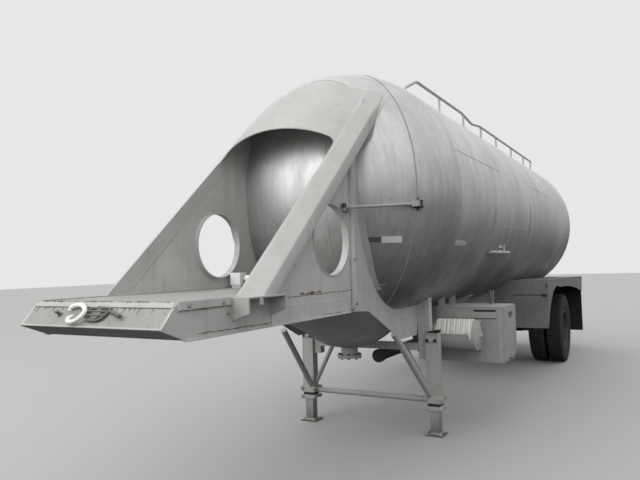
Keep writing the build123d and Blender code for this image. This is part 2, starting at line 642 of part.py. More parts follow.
# Wheels: two tyres, two rims on one hub, on each side
def tyre(middle_y):
    """Tyre turned about the axle: straight beads, bulging side walls, lightly crowned tread."""
    half = tyre_width / 2
    bead = half - 32
    shoulder = half - 22
    top = tyre_radius - 16
    bulge = (bead_radius + top) / 2 + 14
    outline = Line((-bead, bead_radius), (-bead, bead_radius + bead_height))
    outline += ThreePointArc((-bead, bead_radius + bead_height), (-half, bulge), (-shoulder, top))
    outline += ThreePointArc((-shoulder, top), (0, tyre_radius), (shoulder, top))
    outline += ThreePointArc((shoulder, top), (half, bulge), (bead, bead_radius + bead_height))
    outline += Line((bead, bead_radius + bead_height), (bead, bead_radius))
    outline += Line((bead, bead_radius), (-bead, bead_radius))
    plane = Plane(origin=(axle_x, middle_y, axle_z), x_dir=(0, 1, 0), z_dir=(1, 0, 0))
    return revolve(plane * make_face(outline), Axis((axle_x, 0, axle_z), (0, 1, 0)))


def rim_profile(middle_y, side):
    """Rim with its dished disc; side is +1 where the disc lies inboard of the rim's middle."""
    seat = bead_radius - running_gap
    edge = tyre_width / 2 - 32 + running_gap
    wall = 9.0
    inner = seat - wall
    foot_y = disc_y + side * disc_thickness / 2 - (disc_thickness / 2 if side > 0 else -disc_thickness / 2)
    rim = [
        (middle_y - edge - 8, inner), (middle_y - edge - 8, rim_flange_radius),
        (middle_y - edge, rim_flange_radius), (middle_y - edge, seat), (middle_y + edge, seat),
        (middle_y + edge, rim_flange_radius), (middle_y + edge + 8, rim_flange_radius),
        (middle_y + edge + 8, inner)]
    near = disc_y
    far = disc_y + side * disc_thickness
    reach = disc_y + side * 62
    disc = [
        (near, hub_radius - 20), (near, 165), (reach, inner + 4), (reach + side * disc_thickness, inner + 4),
        (far, 158), (far, hub_radius - 20)]
    return rim, disc


def wheel_pair():
    """Left pair of rims with discs, hub and brake drum, as one body."""
    body = None
    for middle_y, side in ((outer_tyre_y, 1), (inner_tyre_y, -1)):
        rim, disc = rim_profile(middle_y, side)
        piece = turned_y(rim, axle_x, axle_z) + turned_y(disc, axle_x, axle_z)
        body = piece if body is None else body + piece
    hub = [
        (hub_inner_y, spindle_radius + running_gap), (hub_inner_y, hub_radius - 24), (disc_y - 30, hub_radius),
        (disc_y + 30, hub_radius), (disc_y + 60, hub_radius - 40), (hub_cap_y, hub_radius - 44),
        (hub_cap_y, 0), (990, 0), (990, spindle_radius + running_gap)]
    drum = [
        (712, drum_radius - 14), (712, drum_radius), (hub_inner_y + 8, drum_radius),
        (hub_inner_y + 8, hub_radius - 30), (hub_inner_y, hub_radius - 30), (hub_inner_y, drum_radius - 14)]
    body += turned_y(hub, axle_x, axle_z) + turned_y(drum, axle_x, axle_z)
    for index in range(hand_holes):
        angle = 2 * pi * index / hand_holes
        hole_x = axle_x + 200 * cos(angle)
        hole_z = axle_z + 200 * sin(angle)
        body -= drum_y(hole_x, hole_z, disc_y - 80, disc_y + 80, hand_hole_radius)
    return body


tyre_left_outer = tyre(outer_tyre_y)
tyre_left_inner = tyre(inner_tyre_y)
tyre_right_outer = mirror(tyre_left_outer, Plane.XZ)
tyre_right_inner = mirror(tyre_left_inner, Plane.XZ)
rims_left = wheel_pair()
rims_right = mirror(rims_left, Plane.XZ)

# Mudguards: slanted front panel, long skirt with a flat arch, roof sheet
guard_inner_y = rail_outer_y
skirt_inner_y = half_width - sheet
front_run = [(-1170, 710), (-1240, 1060), (guard_front_x, guard_front_z)]
guard_front = plate_xz(front_run + [(x - sheet, z) for x, z in reversed(front_run)], guard_inner_y, skirt_inner_y)
guard_front -= tank
skirt_face = Line((-1170, 710), (-1240, 1060)) + Line((-1240, 1060), (guard_front_x, guard_front_z))
skirt_face += Line((guard_front_x, guard_front_z), (guard_rear_x, guard_rear_z))
skirt_face += Line((guard_rear_x, guard_rear_z), (-4890, 1010)) + Line((-4890, 1010), (-4650, 1040))
skirt_face += ThreePointArc((-4650, 1040), (-3370, 1168), (-2300, 1200))
skirt_face += ThreePointArc((-2300, 1200), (-1600, 1110), (-1215, 720)) + Line((-1215, 720), (-1170, 710))
skirt_plane = Plane(origin=(0, skirt_inner_y, 0), x_dir=(1, 0, 0), z_dir=(0, -1, 0))
guard_skirt = extrude(skirt_plane * make_face(skirt_face), amount=sheet, dir=(0, 1, 0))
guard_roof = plate_xz([
    (guard_front_x - sheet, guard_front_z), (guard_rear_x, guard_rear_z), (guard_rear_x, guard_rear_z - 4),
    (guard_front_x - sheet, guard_front_z - 4)], guard_inner_y + 120, skirt_inner_y) - tank
guard_roof -= guard_front
guard_fronts = both_sides(guard_front)
guard_skirts = both_sides(guard_skirt)
guard_roofs = both_sides(guard_roof)
flap_x = -4880.0
mudflap = box(flap_x - flap_thickness, flap_x, 716, skirt_inner_y, flap_bottom_z, guard_rear_z - 5)
mudflaps = both_sides(mudflap)

# Rear bumper on two arms, with lamps
bumper_low_z = 440.0
bumper_high_z = 560.0
bumper_half = 1190.0
bumper_arm = plate_xz([(rear_x + 60, bumper_low_z), (rear_x + 60, bumper_high_z), (rail_rear_x, 985), (rail_rear_x, 720)],
                      rail_outer_y - 12, rail_outer_y)
rear_bumper = box(rear_x, rear_x + 60, -bumper_half, bumper_half, bumper_low_z, bumper_high_z)
rear_bumper += bumper_arm + mirror(bumper_arm, Plane.XZ)
lamp_list = []
for (tail_y,) in ((930.0,), (1090.0,)):
    lamp = box(rear_x + 4, rear_x + 56, tail_y - 60, tail_y + 60, bumper_high_z, bumper_high_z + 90)
    lamp_list.append(both_sides(lamp))
rear_lamps = joined(*lamp_list)

# Walkway on the crown of the barrel, open round the manholes
walkway_front_x = 1560.0
walkway_rear_x = -4440.0
bearer_xs = (-4300.0, -3950.0, -3150.0, -2400.0, -1700.0, -900.0, -100.0, 560.0, 1400.0)
walkway = box(walkway_rear_x, walkway_front_x, -walkway_half, walkway_half, walkway_z - walkway_thickness, walkway_z)
for manhole_x in manhole_xs:
    walkway -= box(manhole_x - manhole_radius - 75, manhole_x + manhole_radius + 75, -walkway_half - 1,
                   walkway_half + 1, tank_top_z - tank_foot, walkway_z + 1)
for bearer_x in bearer_xs:
    walkway += box(bearer_x - 20, bearer_x + 20, -walkway_half, walkway_half, tank_top_z - tank_foot,
                   walkway_z - walkway_thickness)
walkway -= tank

# Guard rails: tubes along the top on posts
post_xs = (691.0, -228.0, -1051.0, -1898.0, -2909.0, -3878.0)
rail_line_z = rail_top_z - rail_tube
rail_front_end_x = 1725.0
rail_rear_end_x = -4560.0
rail_seat_z = tank_over_z(rail_y)
rail_route = [
    (rail_front_end_x, rail_y, rail_seat_z - 11), (rail_front_end_x, rail_y, rail_seat_z + 47),
    (rail_front_end_x - 325, rail_y, rail_line_z), (rail_rear_end_x, rail_y, rail_line_z),
    (rail_rear_end_x + 120, rail_y, rail_line_z - 42), (rail_rear_end_x + 120, rail_y, rail_seat_z - 31)]
top_rail = bent_bar(rail_route, rail_tube) - tank
top_rails = both_sides(top_rail)
post_list = []
for post_x in post_xs:
    post_tube = rod((post_x, rail_y, rail_seat_z - 71), (post_x, rail_y, rail_line_z), 13) - tank - top_rail
    post_list.append(both_sides(post_tube.solids().sort_by(SortBy.VOLUME)[-1]))
rail_posts = joined(*post_list)

# Manholes: short necks on the crown, hinged dished lids
neck_list = []
lids = []
lid_hinge_x = manhole_radius + 34.0
lid_hinge_z = manhole_top_z + 4.0
for manhole_x in manhole_xs:
    neck = Pos(manhole_x, 0, tank_top_z - tank_foot) * Cylinder(
        manhole_radius, manhole_height + tank_foot, align=(Align.CENTER, Align.CENTER, Align.MIN))
    neck -= tank
    neck -= Pos(manhole_x, 0, manhole_top_z - 60) * Cylinder(manhole_radius - manhole_wall, 120)
    for side in (-1, 1):
        neck += box(manhole_x - lid_hinge_x - 12, manhole_x - manhole_radius + 12, side * 55 - 6, side * 55 + 6,
                    manhole_top_z - 62, manhole_top_z - 6)
        neck += box(manhole_x - lid_hinge_x - 12, manhole_x - lid_hinge_x + 12, side * 55 - 6, side * 55 + 6,
                    manhole_top_z - 62, lid_hinge_z + 12)
    neck += rod((manhole_x - lid_hinge_x, -61, lid_hinge_z), (manhole_x - lid_hinge_x, 61, lid_hinge_z), 6)
    neck_list.append(neck)
    rim_r = manhole_radius + lid_overhang
    seat_z = manhole_top_z + 0.4
    lid = turned_z([(0, seat_z), (rim_r, seat_z), (rim_r, seat_z + 14), (rim_r * 0.62, seat_z + lid_rise),
                    (0, seat_z + lid_rise + 10)], manhole_x, 0)
    lid += box(manhole_x - lid_hinge_x, manhole_x - manhole_radius + 30, -47, 47, seat_z + 1, seat_z + 13)
    lid += rod((manhole_x - lid_hinge_x, -47, lid_hinge_z), (manhole_x - lid_hinge_x, 47, lid_hinge_z), 11)
    lid -= rod((manhole_x - lid_hinge_x, -60, lid_hinge_z), (manhole_x - lid_hinge_x, 60, lid_hinge_z), 6.3)
    lids.append(lid)
manhole_necks = joined(*neck_list)

# Ladder on the rear head
ladder_x = -5005.0
ladder_ys = (-470.0, -130.0)
ladder = None
for ladder_y in ladder_ys:
    stile = rod((ladder_x, ladder_y, 960), (ladder_x, ladder_y, 3150), 16)
    stile += Pos(ladder_x, ladder_y, 3150) * Sphere(16)
    stile += rod((ladder_x, ladder_y, 3150), (-4700, ladder_y, 3330), 16)
    for stay_z in (1500, 2300, 2950):
        stile += rod((ladder_x, ladder_y, stay_z), (-4500, ladder_y, stay_z), 10)
    ladder = stile if ladder is None else ladder + stile
ladder -= tank
rung_list = []
for step in range(8):
    rung_z = 1080 + step * 280
    rung = rod((ladder_x, ladder_ys[0], rung_z), (ladder_x, ladder_ys[1], rung_z), 12) - ladder
    rung_list.append(rung.solids().sort_by(SortBy.VOLUME)[-1])
ladder_rungs = joined(*rung_list)

nodes = {
    "tank_barrel": tank_barrel, "tank_head_front": tank_head_front, "tank_head_rear": tank_head_rear,
    "hopper_front": hopper_front, "hoppers_rear": hoppers_rear, "discharge_pipe": discharge_pipe,
    "hood_plate": hood_plate, "side_plate_left": side_plate_left, "side_plate_right": side_plate_right,
    "deck_plate": deck_plate, "nose_plate": nose_plate, "coupling_plate": coupling_plate, "kingpin": kingpin,
    "cross_members": cross_members, "pillars": pillars, "foot_brackets": foot_brackets,
    "edge_angles": edge_angles, "conduits": conduits, "nose_fittings": nose_fittings, "deck_lamp": deck_lamp,
    "leg_housings": leg_housings, "leg_feet": leg_feet, "leg_braces": leg_braces, "leg_hangers": leg_hangers,
    "toolbox": toolbox, "toolbox_door": toolbox_door, "box_hangers": box_hangers, "reservoir": reservoir,
    "reservoir_cover": reservoir_cover, "tie_rod": tie_rod, "vent_pipe": vent_pipe, "rear_rails": rear_rails,
    "rear_members": rear_members, "axle": axle, "springs": springs, "spring_hangers": spring_hangers,
    "tyre_left_outer": tyre_left_outer, "tyre_left_inner": tyre_left_inner,
    "tyre_right_outer": tyre_right_outer, "tyre_right_inner": tyre_right_inner, "rims_left": rims_left,
    "rims_right": rims_right, "guard_fronts": guard_fronts, "guard_skirts": guard_skirts, "guard_roofs": guard_roofs,
    "mudflaps": mudflaps, "rear_bumper": rear_bumper, "rear_lamps": rear_lamps, "walkway": walkway,
    "top_rails": top_rails, "manhole_necks": manhole_necks, "manhole_lid_front": lids[0],
    "manhole_lid_middle": lids[1], "manhole_lid_rear": lids[2], "ladder": ladder, "ladder_rungs": ladder_rungs,
    "rail_posts": rail_posts,
}
for name, shape in nodes.items():
    export_step(shape, f"parts/{name}.step")
    print(name, len(shape.solids()), round(shape.volume / 1e9, 5))
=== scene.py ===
import math

import bpy
import numpy as np
from mathutils import Matrix


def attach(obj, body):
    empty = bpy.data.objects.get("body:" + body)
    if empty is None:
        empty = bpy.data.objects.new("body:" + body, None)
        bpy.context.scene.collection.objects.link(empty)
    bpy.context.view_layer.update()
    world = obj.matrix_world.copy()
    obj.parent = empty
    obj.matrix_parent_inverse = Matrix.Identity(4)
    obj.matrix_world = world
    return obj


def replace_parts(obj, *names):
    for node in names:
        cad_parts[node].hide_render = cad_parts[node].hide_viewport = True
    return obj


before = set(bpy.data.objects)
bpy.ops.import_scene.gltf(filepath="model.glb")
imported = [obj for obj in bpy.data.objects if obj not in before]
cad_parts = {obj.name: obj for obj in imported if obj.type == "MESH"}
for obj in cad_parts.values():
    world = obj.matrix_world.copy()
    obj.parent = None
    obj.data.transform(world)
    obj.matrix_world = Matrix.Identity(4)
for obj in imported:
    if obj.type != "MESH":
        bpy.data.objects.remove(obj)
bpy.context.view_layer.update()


# The view: the trailer's left front corner, from eye height, looking back along it and a little up. The camera is
# rolled by 1.6 degrees, so level lines tilt a little.
def stand(name, data, axes, place):
    """Object linked to the scene, its own three axes along the unit rows of axes and its origin at the place."""
    made = bpy.data.objects.new(name, data)
    bpy.context.scene.collection.objects.link(made)
    made.matrix_world = Matrix([[*row, p] for row, p in zip(np.asarray(axes).T, place)] + [[0, 0, 0, 1]])
    return made


eye = np.array([7.113, 2.613, 1.616])
heading, pitch, roll = math.radians(29.987), math.radians(2.465), math.radians(-1.640)
ahead = np.array([-math.cos(heading) * math.cos(pitch), -math.sin(heading) * math.cos(pitch), math.sin(pitch)])
level = np.array([-math.sin(heading), math.cos(heading), 0.0])
upright = np.cross(level, ahead)
across = level * math.cos(roll) + upright * math.sin(roll)
up = upright * math.cos(roll) - level * math.sin(roll)
lens = bpy.data.cameras.new("view")
lens.sensor_width = 36.0
lens.lens = 33.53
lens.clip_end = 200.0
bpy.context.scene.camera = stand("view", lens, [across, up, -ahead], eye)
bpy.context.scene.view_settings.view_transform = "Standard"


# Daylight under a covered sky: an even dome, brightest overhead and ahead, and one wide soft lamp high in front on the
# right, where the sun stands behind thin cloud. The left flank and the underside stay in its shade, and low on the left
# the sky is dimmer.
def linear(code):
    """Linear red, green, blue and alpha of an sRGB hex colour: c / 12.92 to 0.04045, else ((c + 0.055) / 1.055)^2.4."""
    parts = [int(code[i:i + 2], 16) / 255 for i in (1, 3, 5)]
    return [c / 12.92 if c <= 0.04045 else ((c + 0.055) / 1.055) ** 2.4 for c in parts] + [1.0]


def add(tree, kind, inputs=None, **settings):
    """One node with its settings; a socket, or a node by its first live output, is linked, any other is a value."""
    made = tree.nodes.new(kind)
    for key, value in settings.items():
        setattr(made, key, value)
    for key, value in (inputs or {}).items():
        if isinstance(value, bpy.types.Node):
            value = next(socket for socket in value.outputs if socket.enabled)
        if isinstance(value, bpy.types.NodeSocket):
            tree.links.new(value, made.inputs[key])
        else:
            made.inputs[key].default_value = value
    return made


def facing(way):
    """Three unit directions as rows: a level one across the way, the one across both, and the way itself."""
    way = np.asarray(way, float) / np.linalg.norm(way)
    first = np.cross((0, 0, 1) if abs(way[2]) < 0.95 else (0, 1, 0), way)
    first = first / np.linalg.norm(first)
    return np.stack([first, np.cross(way, first), way])


sky = bpy.data.worlds.new("covered_sky")
sky.use_nodes = True
tree = sky.node_tree
tree.nodes.clear()
where = add(tree, "ShaderNodeSeparateXYZ", {0: add(tree, "ShaderNodeTexCoord").outputs["Generated"]}).outputs
overhead = add(tree, "ShaderNodeMapRange", {0: where["Z"], 1: -0.02, 2: 0.5, 3: 0.60, 4: 1.14})
leftward = add(tree, "ShaderNodeMapRange", {0: where["Y"], 1: 0.10, 2: 0.75, 3: 0.0, 4: 0.80})
near_ground = add(tree, "ShaderNodeMapRange", {0: where["Z"], 1: 0.02, 2: 0.36, 3: 1.0, 4: 0.0})
forward = add(tree, "ShaderNodeMapRange", {0: where["X"], 1: 0.15, 2: 0.85, 3: 1.0, 4: 1.45})
left_dim = add(tree, "ShaderNodeMath", {0: leftward, 1: near_ground}, operation="MULTIPLY")
left_open = add(tree, "ShaderNodeMath", {0: 1.0, 1: left_dim}, operation="SUBTRACT")
strength = add(tree, "ShaderNodeMath", {0: overhead, 1: left_open}, operation="MULTIPLY")
strength = add(tree, "ShaderNodeMath", {0: strength, 1: forward}, operation="MULTIPLY")
dome_light = add(tree, "ShaderNodeBackground", {"Color": linear("#f6f6f6"), "Strength": strength})
behind = add(tree, "ShaderNodeBackground", {"Color": linear("#f0f0f0"), "Strength": 0.92})
seen = add(tree, "ShaderNodeLightPath").outputs["Is Camera Ray"]
shown = add(tree, "ShaderNodeMixShader", {0: seen, 1: dome_light, 2: behind})
add(tree, "ShaderNodeOutputWorld", {"Surface": shown})
bpy.context.scene.world = sky

lamp_place, lamp_aim = np.array([13.5, -4.0, 8.0]), np.array([2.8, 0.0, 2.3])
sun = bpy.data.lights.new("sun_behind_cloud", "AREA")
sun.energy = 500.0
sun.size = 9.0
stand("sun_behind_cloud", sun, facing(lamp_place - lamp_aim), lamp_place)


# The floor: one plain pale sheet, far wider than the view. It keeps the trailer's shadow, and throws back as little
# light under the trailer as bare ground does.
def blank_material(name):
    """New material and its empty node tree."""
    made = bpy.data.materials.new(name)
    made.use_nodes = True
    made.node_tree.nodes.clear()
    return made, made.node_tree


ground, tree = blank_material("pale_floor")
seen = add(tree, "ShaderNodeLightPath").outputs["Is Camera Ray"]
tone = add(tree, "ShaderNodeMix", {0: seen, 6: linear("#505050"), 7: linear("#b4b4b3")}, data_type="RGBA")
sheet = add(tree, "ShaderNodeBsdfPrincipled", {"Base Color": tone, "Roughness": 0.92})
add(tree, "ShaderNodeOutputMaterial", {0: sheet})
floor_mesh = bpy.data.meshes.new("floor")
floor_mesh.from_pydata([(-60, -60, 0), (60, -60, 0), (60, 60, 0), (-60, 60, 0)], [], [(0, 1, 2, 3)])
floor_mesh.materials.append(ground)
stand("floor", floor_mesh, np.eye(3), (0, 0, 0))


# The tank: rolled steel plate, two dished heads pressed from plate, sprayed with aluminium-grey paint that rain and
# dust have streaked. The sheet is never quite true between its welds, so the skin waves by a millimetre or two.
def xyz(x, y, z):
    """Points from their three coordinates; a single number holds for all of them."""
    return np.stack(np.broadcast_arrays(x, y, z), -1)


def patch(points, closed_u=False, closed_v=False):
    """Points and quads of a grid points[i, j]: a quad between each four neighbours, round again where a way closes."""
    rows, columns = points.shape[:2]
    i, j = np.meshgrid(np.arange(rows if closed_u else rows - 1),
                       np.arange(columns if closed_v else columns - 1), indexing="ij")
    i2, j2 = (i + 1) % rows, (j + 1) % columns
    quads = np.stack([i * columns + j, i2 * columns + j, i2 * columns + j2, i * columns + j2], -1).reshape(-1, 4)
    return points.reshape(-1, 3), [quads]


def outwards(points, faces):
    """The body with its faces turned outside out: the sum of a . (b x c) over its triangles is six times its volume."""
    volume = 0.0
    for group in faces:
        for k in range(1, group.shape[1] - 1):
            volume += np.sum(points[group[:, 0]] * np.cross(points[group[:, k]], points[group[:, k + 1]]))
    return points, [group[:, ::-1] if volume < 0 else group for group in faces]


def ringed(points, tips=None):
    """Closed body of rings points[i, j]: quads from ring to ring, and a fan from each end ring to its tip or middle."""
    rows, columns = points.shape[:2]
    flat, faces = patch(points, closed_v=True)
    ends = [points[0].mean(0), points[-1].mean(0)] if tips is None else tips
    j = np.arange(columns)
    j2, last = (j + 1) % columns, (rows - 1) * columns
    fans = [np.stack([np.full(columns, rows * columns), j, j2], -1),
            np.stack([np.full(columns, rows * columns + 1), last + j2, last + j], -1)]
    return outwards(np.concatenate([flat, ends]), faces + fans)


def piece(name, bodies, material, body="chassis", crease=35.0):
    """Object at the origin of bodies laid one after another, smooth up to the crease angle, riding on a moving body."""
    mesh, start, points, faces = bpy.data.meshes.new(name), 0, [], []
    for part, groups in bodies:
        points.append(part)
        faces += [face for group in groups for face in (group + start).tolist()]
        start += len(part)
    mesh.from_pydata(np.concatenate(points).tolist(), [], faces)
    mesh.update()
    mesh.materials.append(material)
    mesh.shade_smooth()
    mesh.set_sharp_from_angle(angle=math.radians(crease))
    made = bpy.data.objects.new(name, mesh)
    bpy.context.scene.collection.objects.link(made)
    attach(made, body)
    return made


def head_profile(depth, knuckle, count):
    """Points (x, r) of a torispherical head from its rim to its middle: a knuckle arc, then the crown's flatter arc."""
    crown = (depth**2 + tank_radius**2 - 2 * tank_radius * knuckle) / (2 * (depth - knuckle))
    edge_r, middle_x = tank_radius - knuckle, depth - crown
    turn = math.atan2(edge_r, -middle_x)
    bend = np.linspace(math.pi / 2, turn, count)
    flat = np.linspace(turn, 0, count + 1)[1:-1]
    x = np.concatenate([knuckle * np.cos(bend), middle_x + crown * np.cos(flat)])
    r = np.concatenate([edge_r + knuckle * np.sin(bend), crown * np.sin(flat)])
    return x, r


tank_radius, axis_z = 1.153, 2.232
front_seam, rear_seam = 2.150, -4.456
front_depth, rear_depth = 0.887, 0.480
around, barrel_rings = 224, 148
front_x, front_r = head_profile(front_depth, 0.750, 44)
rear_x, rear_r = head_profile(rear_depth, 0.330, 24)
barrel_x = np.linspace(rear_seam, front_seam, barrel_rings + 2)[1:-1]
run_x = np.concatenate([rear_seam - rear_x[::-1], barrel_x, front_seam + front_x])
run_r = np.concatenate([rear_r[::-1], np.full(barrel_rings, tank_radius), front_r])
tank_x, tank_a = np.meshgrid(run_x, np.linspace(0, 2 * np.pi, around, endpoint=False), indexing="ij")
tank_r = np.repeat(run_r[:, None], around, 1)
wave = 0.0013 * np.sin(4.1 * tank_x + 3 * np.sin(2 * tank_a)) * np.sin(5 * tank_a + 1.3 * tank_x)
wave += 0.0008 * np.sin(11 * tank_x) * np.sin(9 * tank_a + 2)
tank_r = tank_r * (1 - np.abs(wave) * np.clip(tank_r / 0.4, 0, 1))
tank_points = xyz(tank_x, tank_r * np.sin(tank_a), axis_z + tank_r * np.cos(tank_a))

# Aluminium-grey paint, sprayed: metal flake gives a soft broad sheen, rain has drawn thin upright runs in the dust,
# and the lower third is darker in patches, partly road soil and partly painted shade of the dark ground below. Runs
# are some 90 mm wide, threads 20 mm and specks 25 mm.
silver, tree = blank_material("aluminium_paint_weathered")
spot = add(tree, "ShaderNodeTexCoord").outputs["Object"]
apart = add(tree, "ShaderNodeSeparateXYZ", {0: spot}).outputs
run_map = add(tree, "ShaderNodeMapping", {0: spot, 3: (6.5, 2.0, 0.55)})
runs = add(tree, "ShaderNodeTexNoise", {0: run_map, 2: 1.7, 3: 8.0, 4: 0.66})
thread_map = add(tree, "ShaderNodeMapping", {0: spot, 3: (30.0, 14.0, 1.1)})
threads = add(tree, "ShaderNodeTexNoise", {0: thread_map, 2: 1.6, 3: 4.0, 4: 0.6})
cloud = add(tree, "ShaderNodeTexNoise", {0: spot, 2: 1.4, 3: 6.0, 4: 0.6})
specks = add(tree, "ShaderNodeTexNoise", {0: spot, 2: 42.0, 3: 3.0, 4: 0.6})
streaky = add(tree, "ShaderNodeMapRange", {0: runs, 1: 0.40, 2: 0.66, 3: 0.0, 4: 0.8})
threaded = add(tree, "ShaderNodeMapRange", {0: threads, 1: 0.50, 2: 0.72, 3: 0.0, 4: 0.40})
clouded = add(tree, "ShaderNodeMapRange", {0: cloud, 1: 0.38, 2: 0.68, 3: 0.0, 4: 0.8})
# Darker towards the bottom, in patches of the cloud noise: road soil, and painted shade of the dark ground.
low_soil_and_shade = add(tree, "ShaderNodeMapRange", {0: apart["Z"], 1: 1.15, 2: 2.35, 3: 1.0, 4: 0.0})
patchy_soil_and_shade = add(tree, "ShaderNodeMath", {0: low_soil_and_shade, 1: cloud}, operation="MULTIPLY")
darker_low_down = add(tree, "ShaderNodeMapRange", {0: patchy_soil_and_shade, 1: 0.05, 2: 0.5, 3: 0.0, 4: 0.72})
layers = [(streaky, "#bebebd"), (threaded, "#92918f"), (clouded, "#bebebc"), (darker_low_down, "#5a5956")]
# Two dark runs from old leaks on the left flank: narrow bell curves along the trailer, ended above and below.
left_flank = add(tree, "ShaderNodeMath", {0: apart["Y"], 1: 0.5}, operation="GREATER_THAN")
for run_at, run_wide, run_top, run_end in ((0.975, 0.020, 2.13, 1.96), (-0.815, 0.030, 2.30, 1.98)):
    off = add(tree, "ShaderNodeMath", {0: apart["X"], 1: -run_at}, operation="ADD")
    near = add(tree, "ShaderNodeMath", {0: off}, operation="ABSOLUTE")
    bell = {0: near, 1: 0.0, 2: run_wide, 3: 1.0, 4: 0.0}
    share = add(tree, "ShaderNodeMapRange", bell, interpolation_type="SMOOTHSTEP")
    below_top = add(tree, "ShaderNodeMapRange", {0: apart["Z"], 1: run_top, 2: run_top + 0.06, 3: 1.0, 4: 0.0})
    above_end = add(tree, "ShaderNodeMapRange", {0: apart["Z"], 1: run_end - 0.08, 2: run_end, 3: 0.0, 4: 0.85})
    for limit in (below_top, above_end, left_flank):
        share = add(tree, "ShaderNodeMath", {0: share, 1: limit}, operation="MULTIPLY")
    layers.append((share, "#3f3e3c"))
spotty = add(tree, "ShaderNodeMapRange", {0: specks, 1: 0.66, 2: 0.74, 3: 0.0, 4: 0.5})
base = linear("#dcdcdb")
for share, colour in layers + [(spotty, "#6a6764")]:
    base = add(tree, "ShaderNodeMix", {0: share, 6: base, 7: linear(colour)}, data_type="RGBA")
sheen = add(tree, "ShaderNodeMapRange", {0: streaky, 1: 0.0, 2: 1.0, 3: 0.42, 4: 0.58})
relief = add(tree, "ShaderNodeBump", {"Strength": 0.25, "Distance": 0.002, "Height": runs})
flake = {"Base Color": base, "Metallic": 0.72, "Roughness": sheen, "Normal": relief}
add(tree, "ShaderNodeOutputMaterial", {0: add(tree, "ShaderNodeBsdfPrincipled", flake)})
tips = [(rear_seam - rear_depth, 0, axis_z), (front_seam + front_depth, 0, axis_z)]
tank = piece("tank_skin", [ringed(tank_points, tips)], silver)
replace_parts(tank, "tank_barrel", "tank_head_front", "tank_head_rear")


# Weld beads of the tank: hand-laid, rippled, ground nearly flush and painted over with the plate. The front head
# is made of three upright strakes, and rings join the rolled courses of the barrel.
def tube(path, radius, sides=10, closed=False):
    """Round bar along a path: at each station a circle of the given radius, across the path's own direction."""
    path = np.asarray(path, float)
    step = np.roll(path, -1, 0) - np.roll(path, 1, 0) if closed else np.gradient(path, axis=0)
    along = step / np.linalg.norm(step, axis=1, keepdims=True)
    one = np.cross(along, np.linalg.svd(along)[2][-1])
    one = one / np.linalg.norm(one, axis=1, keepdims=True)
    two = np.cross(along, one)
    angle = np.linspace(0, 2 * np.pi, sides, endpoint=False)[:, None]
    ring = one[:, None] * np.cos(angle) + two[:, None] * np.sin(angle)
    points = path[:, None] + np.broadcast_to(radius, len(path))[:, None, None] * ring
    return outwards(*patch(points, True, True)) if closed else ringed(points)


def bead(path, width=0.0045, closed=False):
    """Weld bead along a path: a bar of half the bead's width, swelling and shrinking with the welder's strokes."""
    return tube(path, width * (1 + 0.14 * np.sin(np.arange(len(path)) * 2.2)), 8, closed)


def at_radius(r):
    """Distance x of the front head's outer face at r from the axis, read off its own profile."""
    return front_seam + np.interp(-np.asarray(r), -front_r, front_x)


bead_sunk = 0.0025
seam_y, seam_z, cross_y = np.linspace(-0.62, 0.62, 80), np.linspace(0.58, -0.75, 80), 0.30
low_z = 1.443 - axis_z
level_seam = xyz(at_radius(np.hypot(seam_y, low_z)) - bead_sunk, seam_y, axis_z + low_z)
upright_seam = xyz(at_radius(np.hypot(seam_z, cross_y)) - bead_sunk, cross_y, axis_z + seam_z)
gore_a = np.linspace(math.radians(-73), math.radians(73), 200)
gore_y, gore_z = 0.945 * np.cos(gore_a), 1.170 * np.sin(gore_a)
gore_x = at_radius(np.hypot(gore_y, gore_z))
cap_beads = [bead(xyz(gore_x, side * gore_y, axis_z + gore_z), 0.005) for side in (-1, 1)]
course_x = (2.150, 0.560, -1.110, -2.780, -4.456)
ring_a = np.linspace(0, 2 * np.pi, 260, endpoint=False)
ring_r = tank_radius - bead_sunk
ring_beads = [bead(xyz(x, ring_r * np.sin(ring_a), axis_z + ring_r * np.cos(ring_a)), closed=True) for x in course_x]
for high, near_x, far_x in zip((0.35, -0.25, 0.35, -0.25), course_x, course_x[1:]):
    flank = math.sqrt((tank_radius - bead_sunk)**2 - high**2)
    ring_beads += [bead(xyz(np.linspace(near_x, far_x, 160), side * flank, axis_z + high)) for side in (-1, 1)]
piece("tank_welds", ring_beads + [bead(level_seam), bead(upright_seam)], silver)


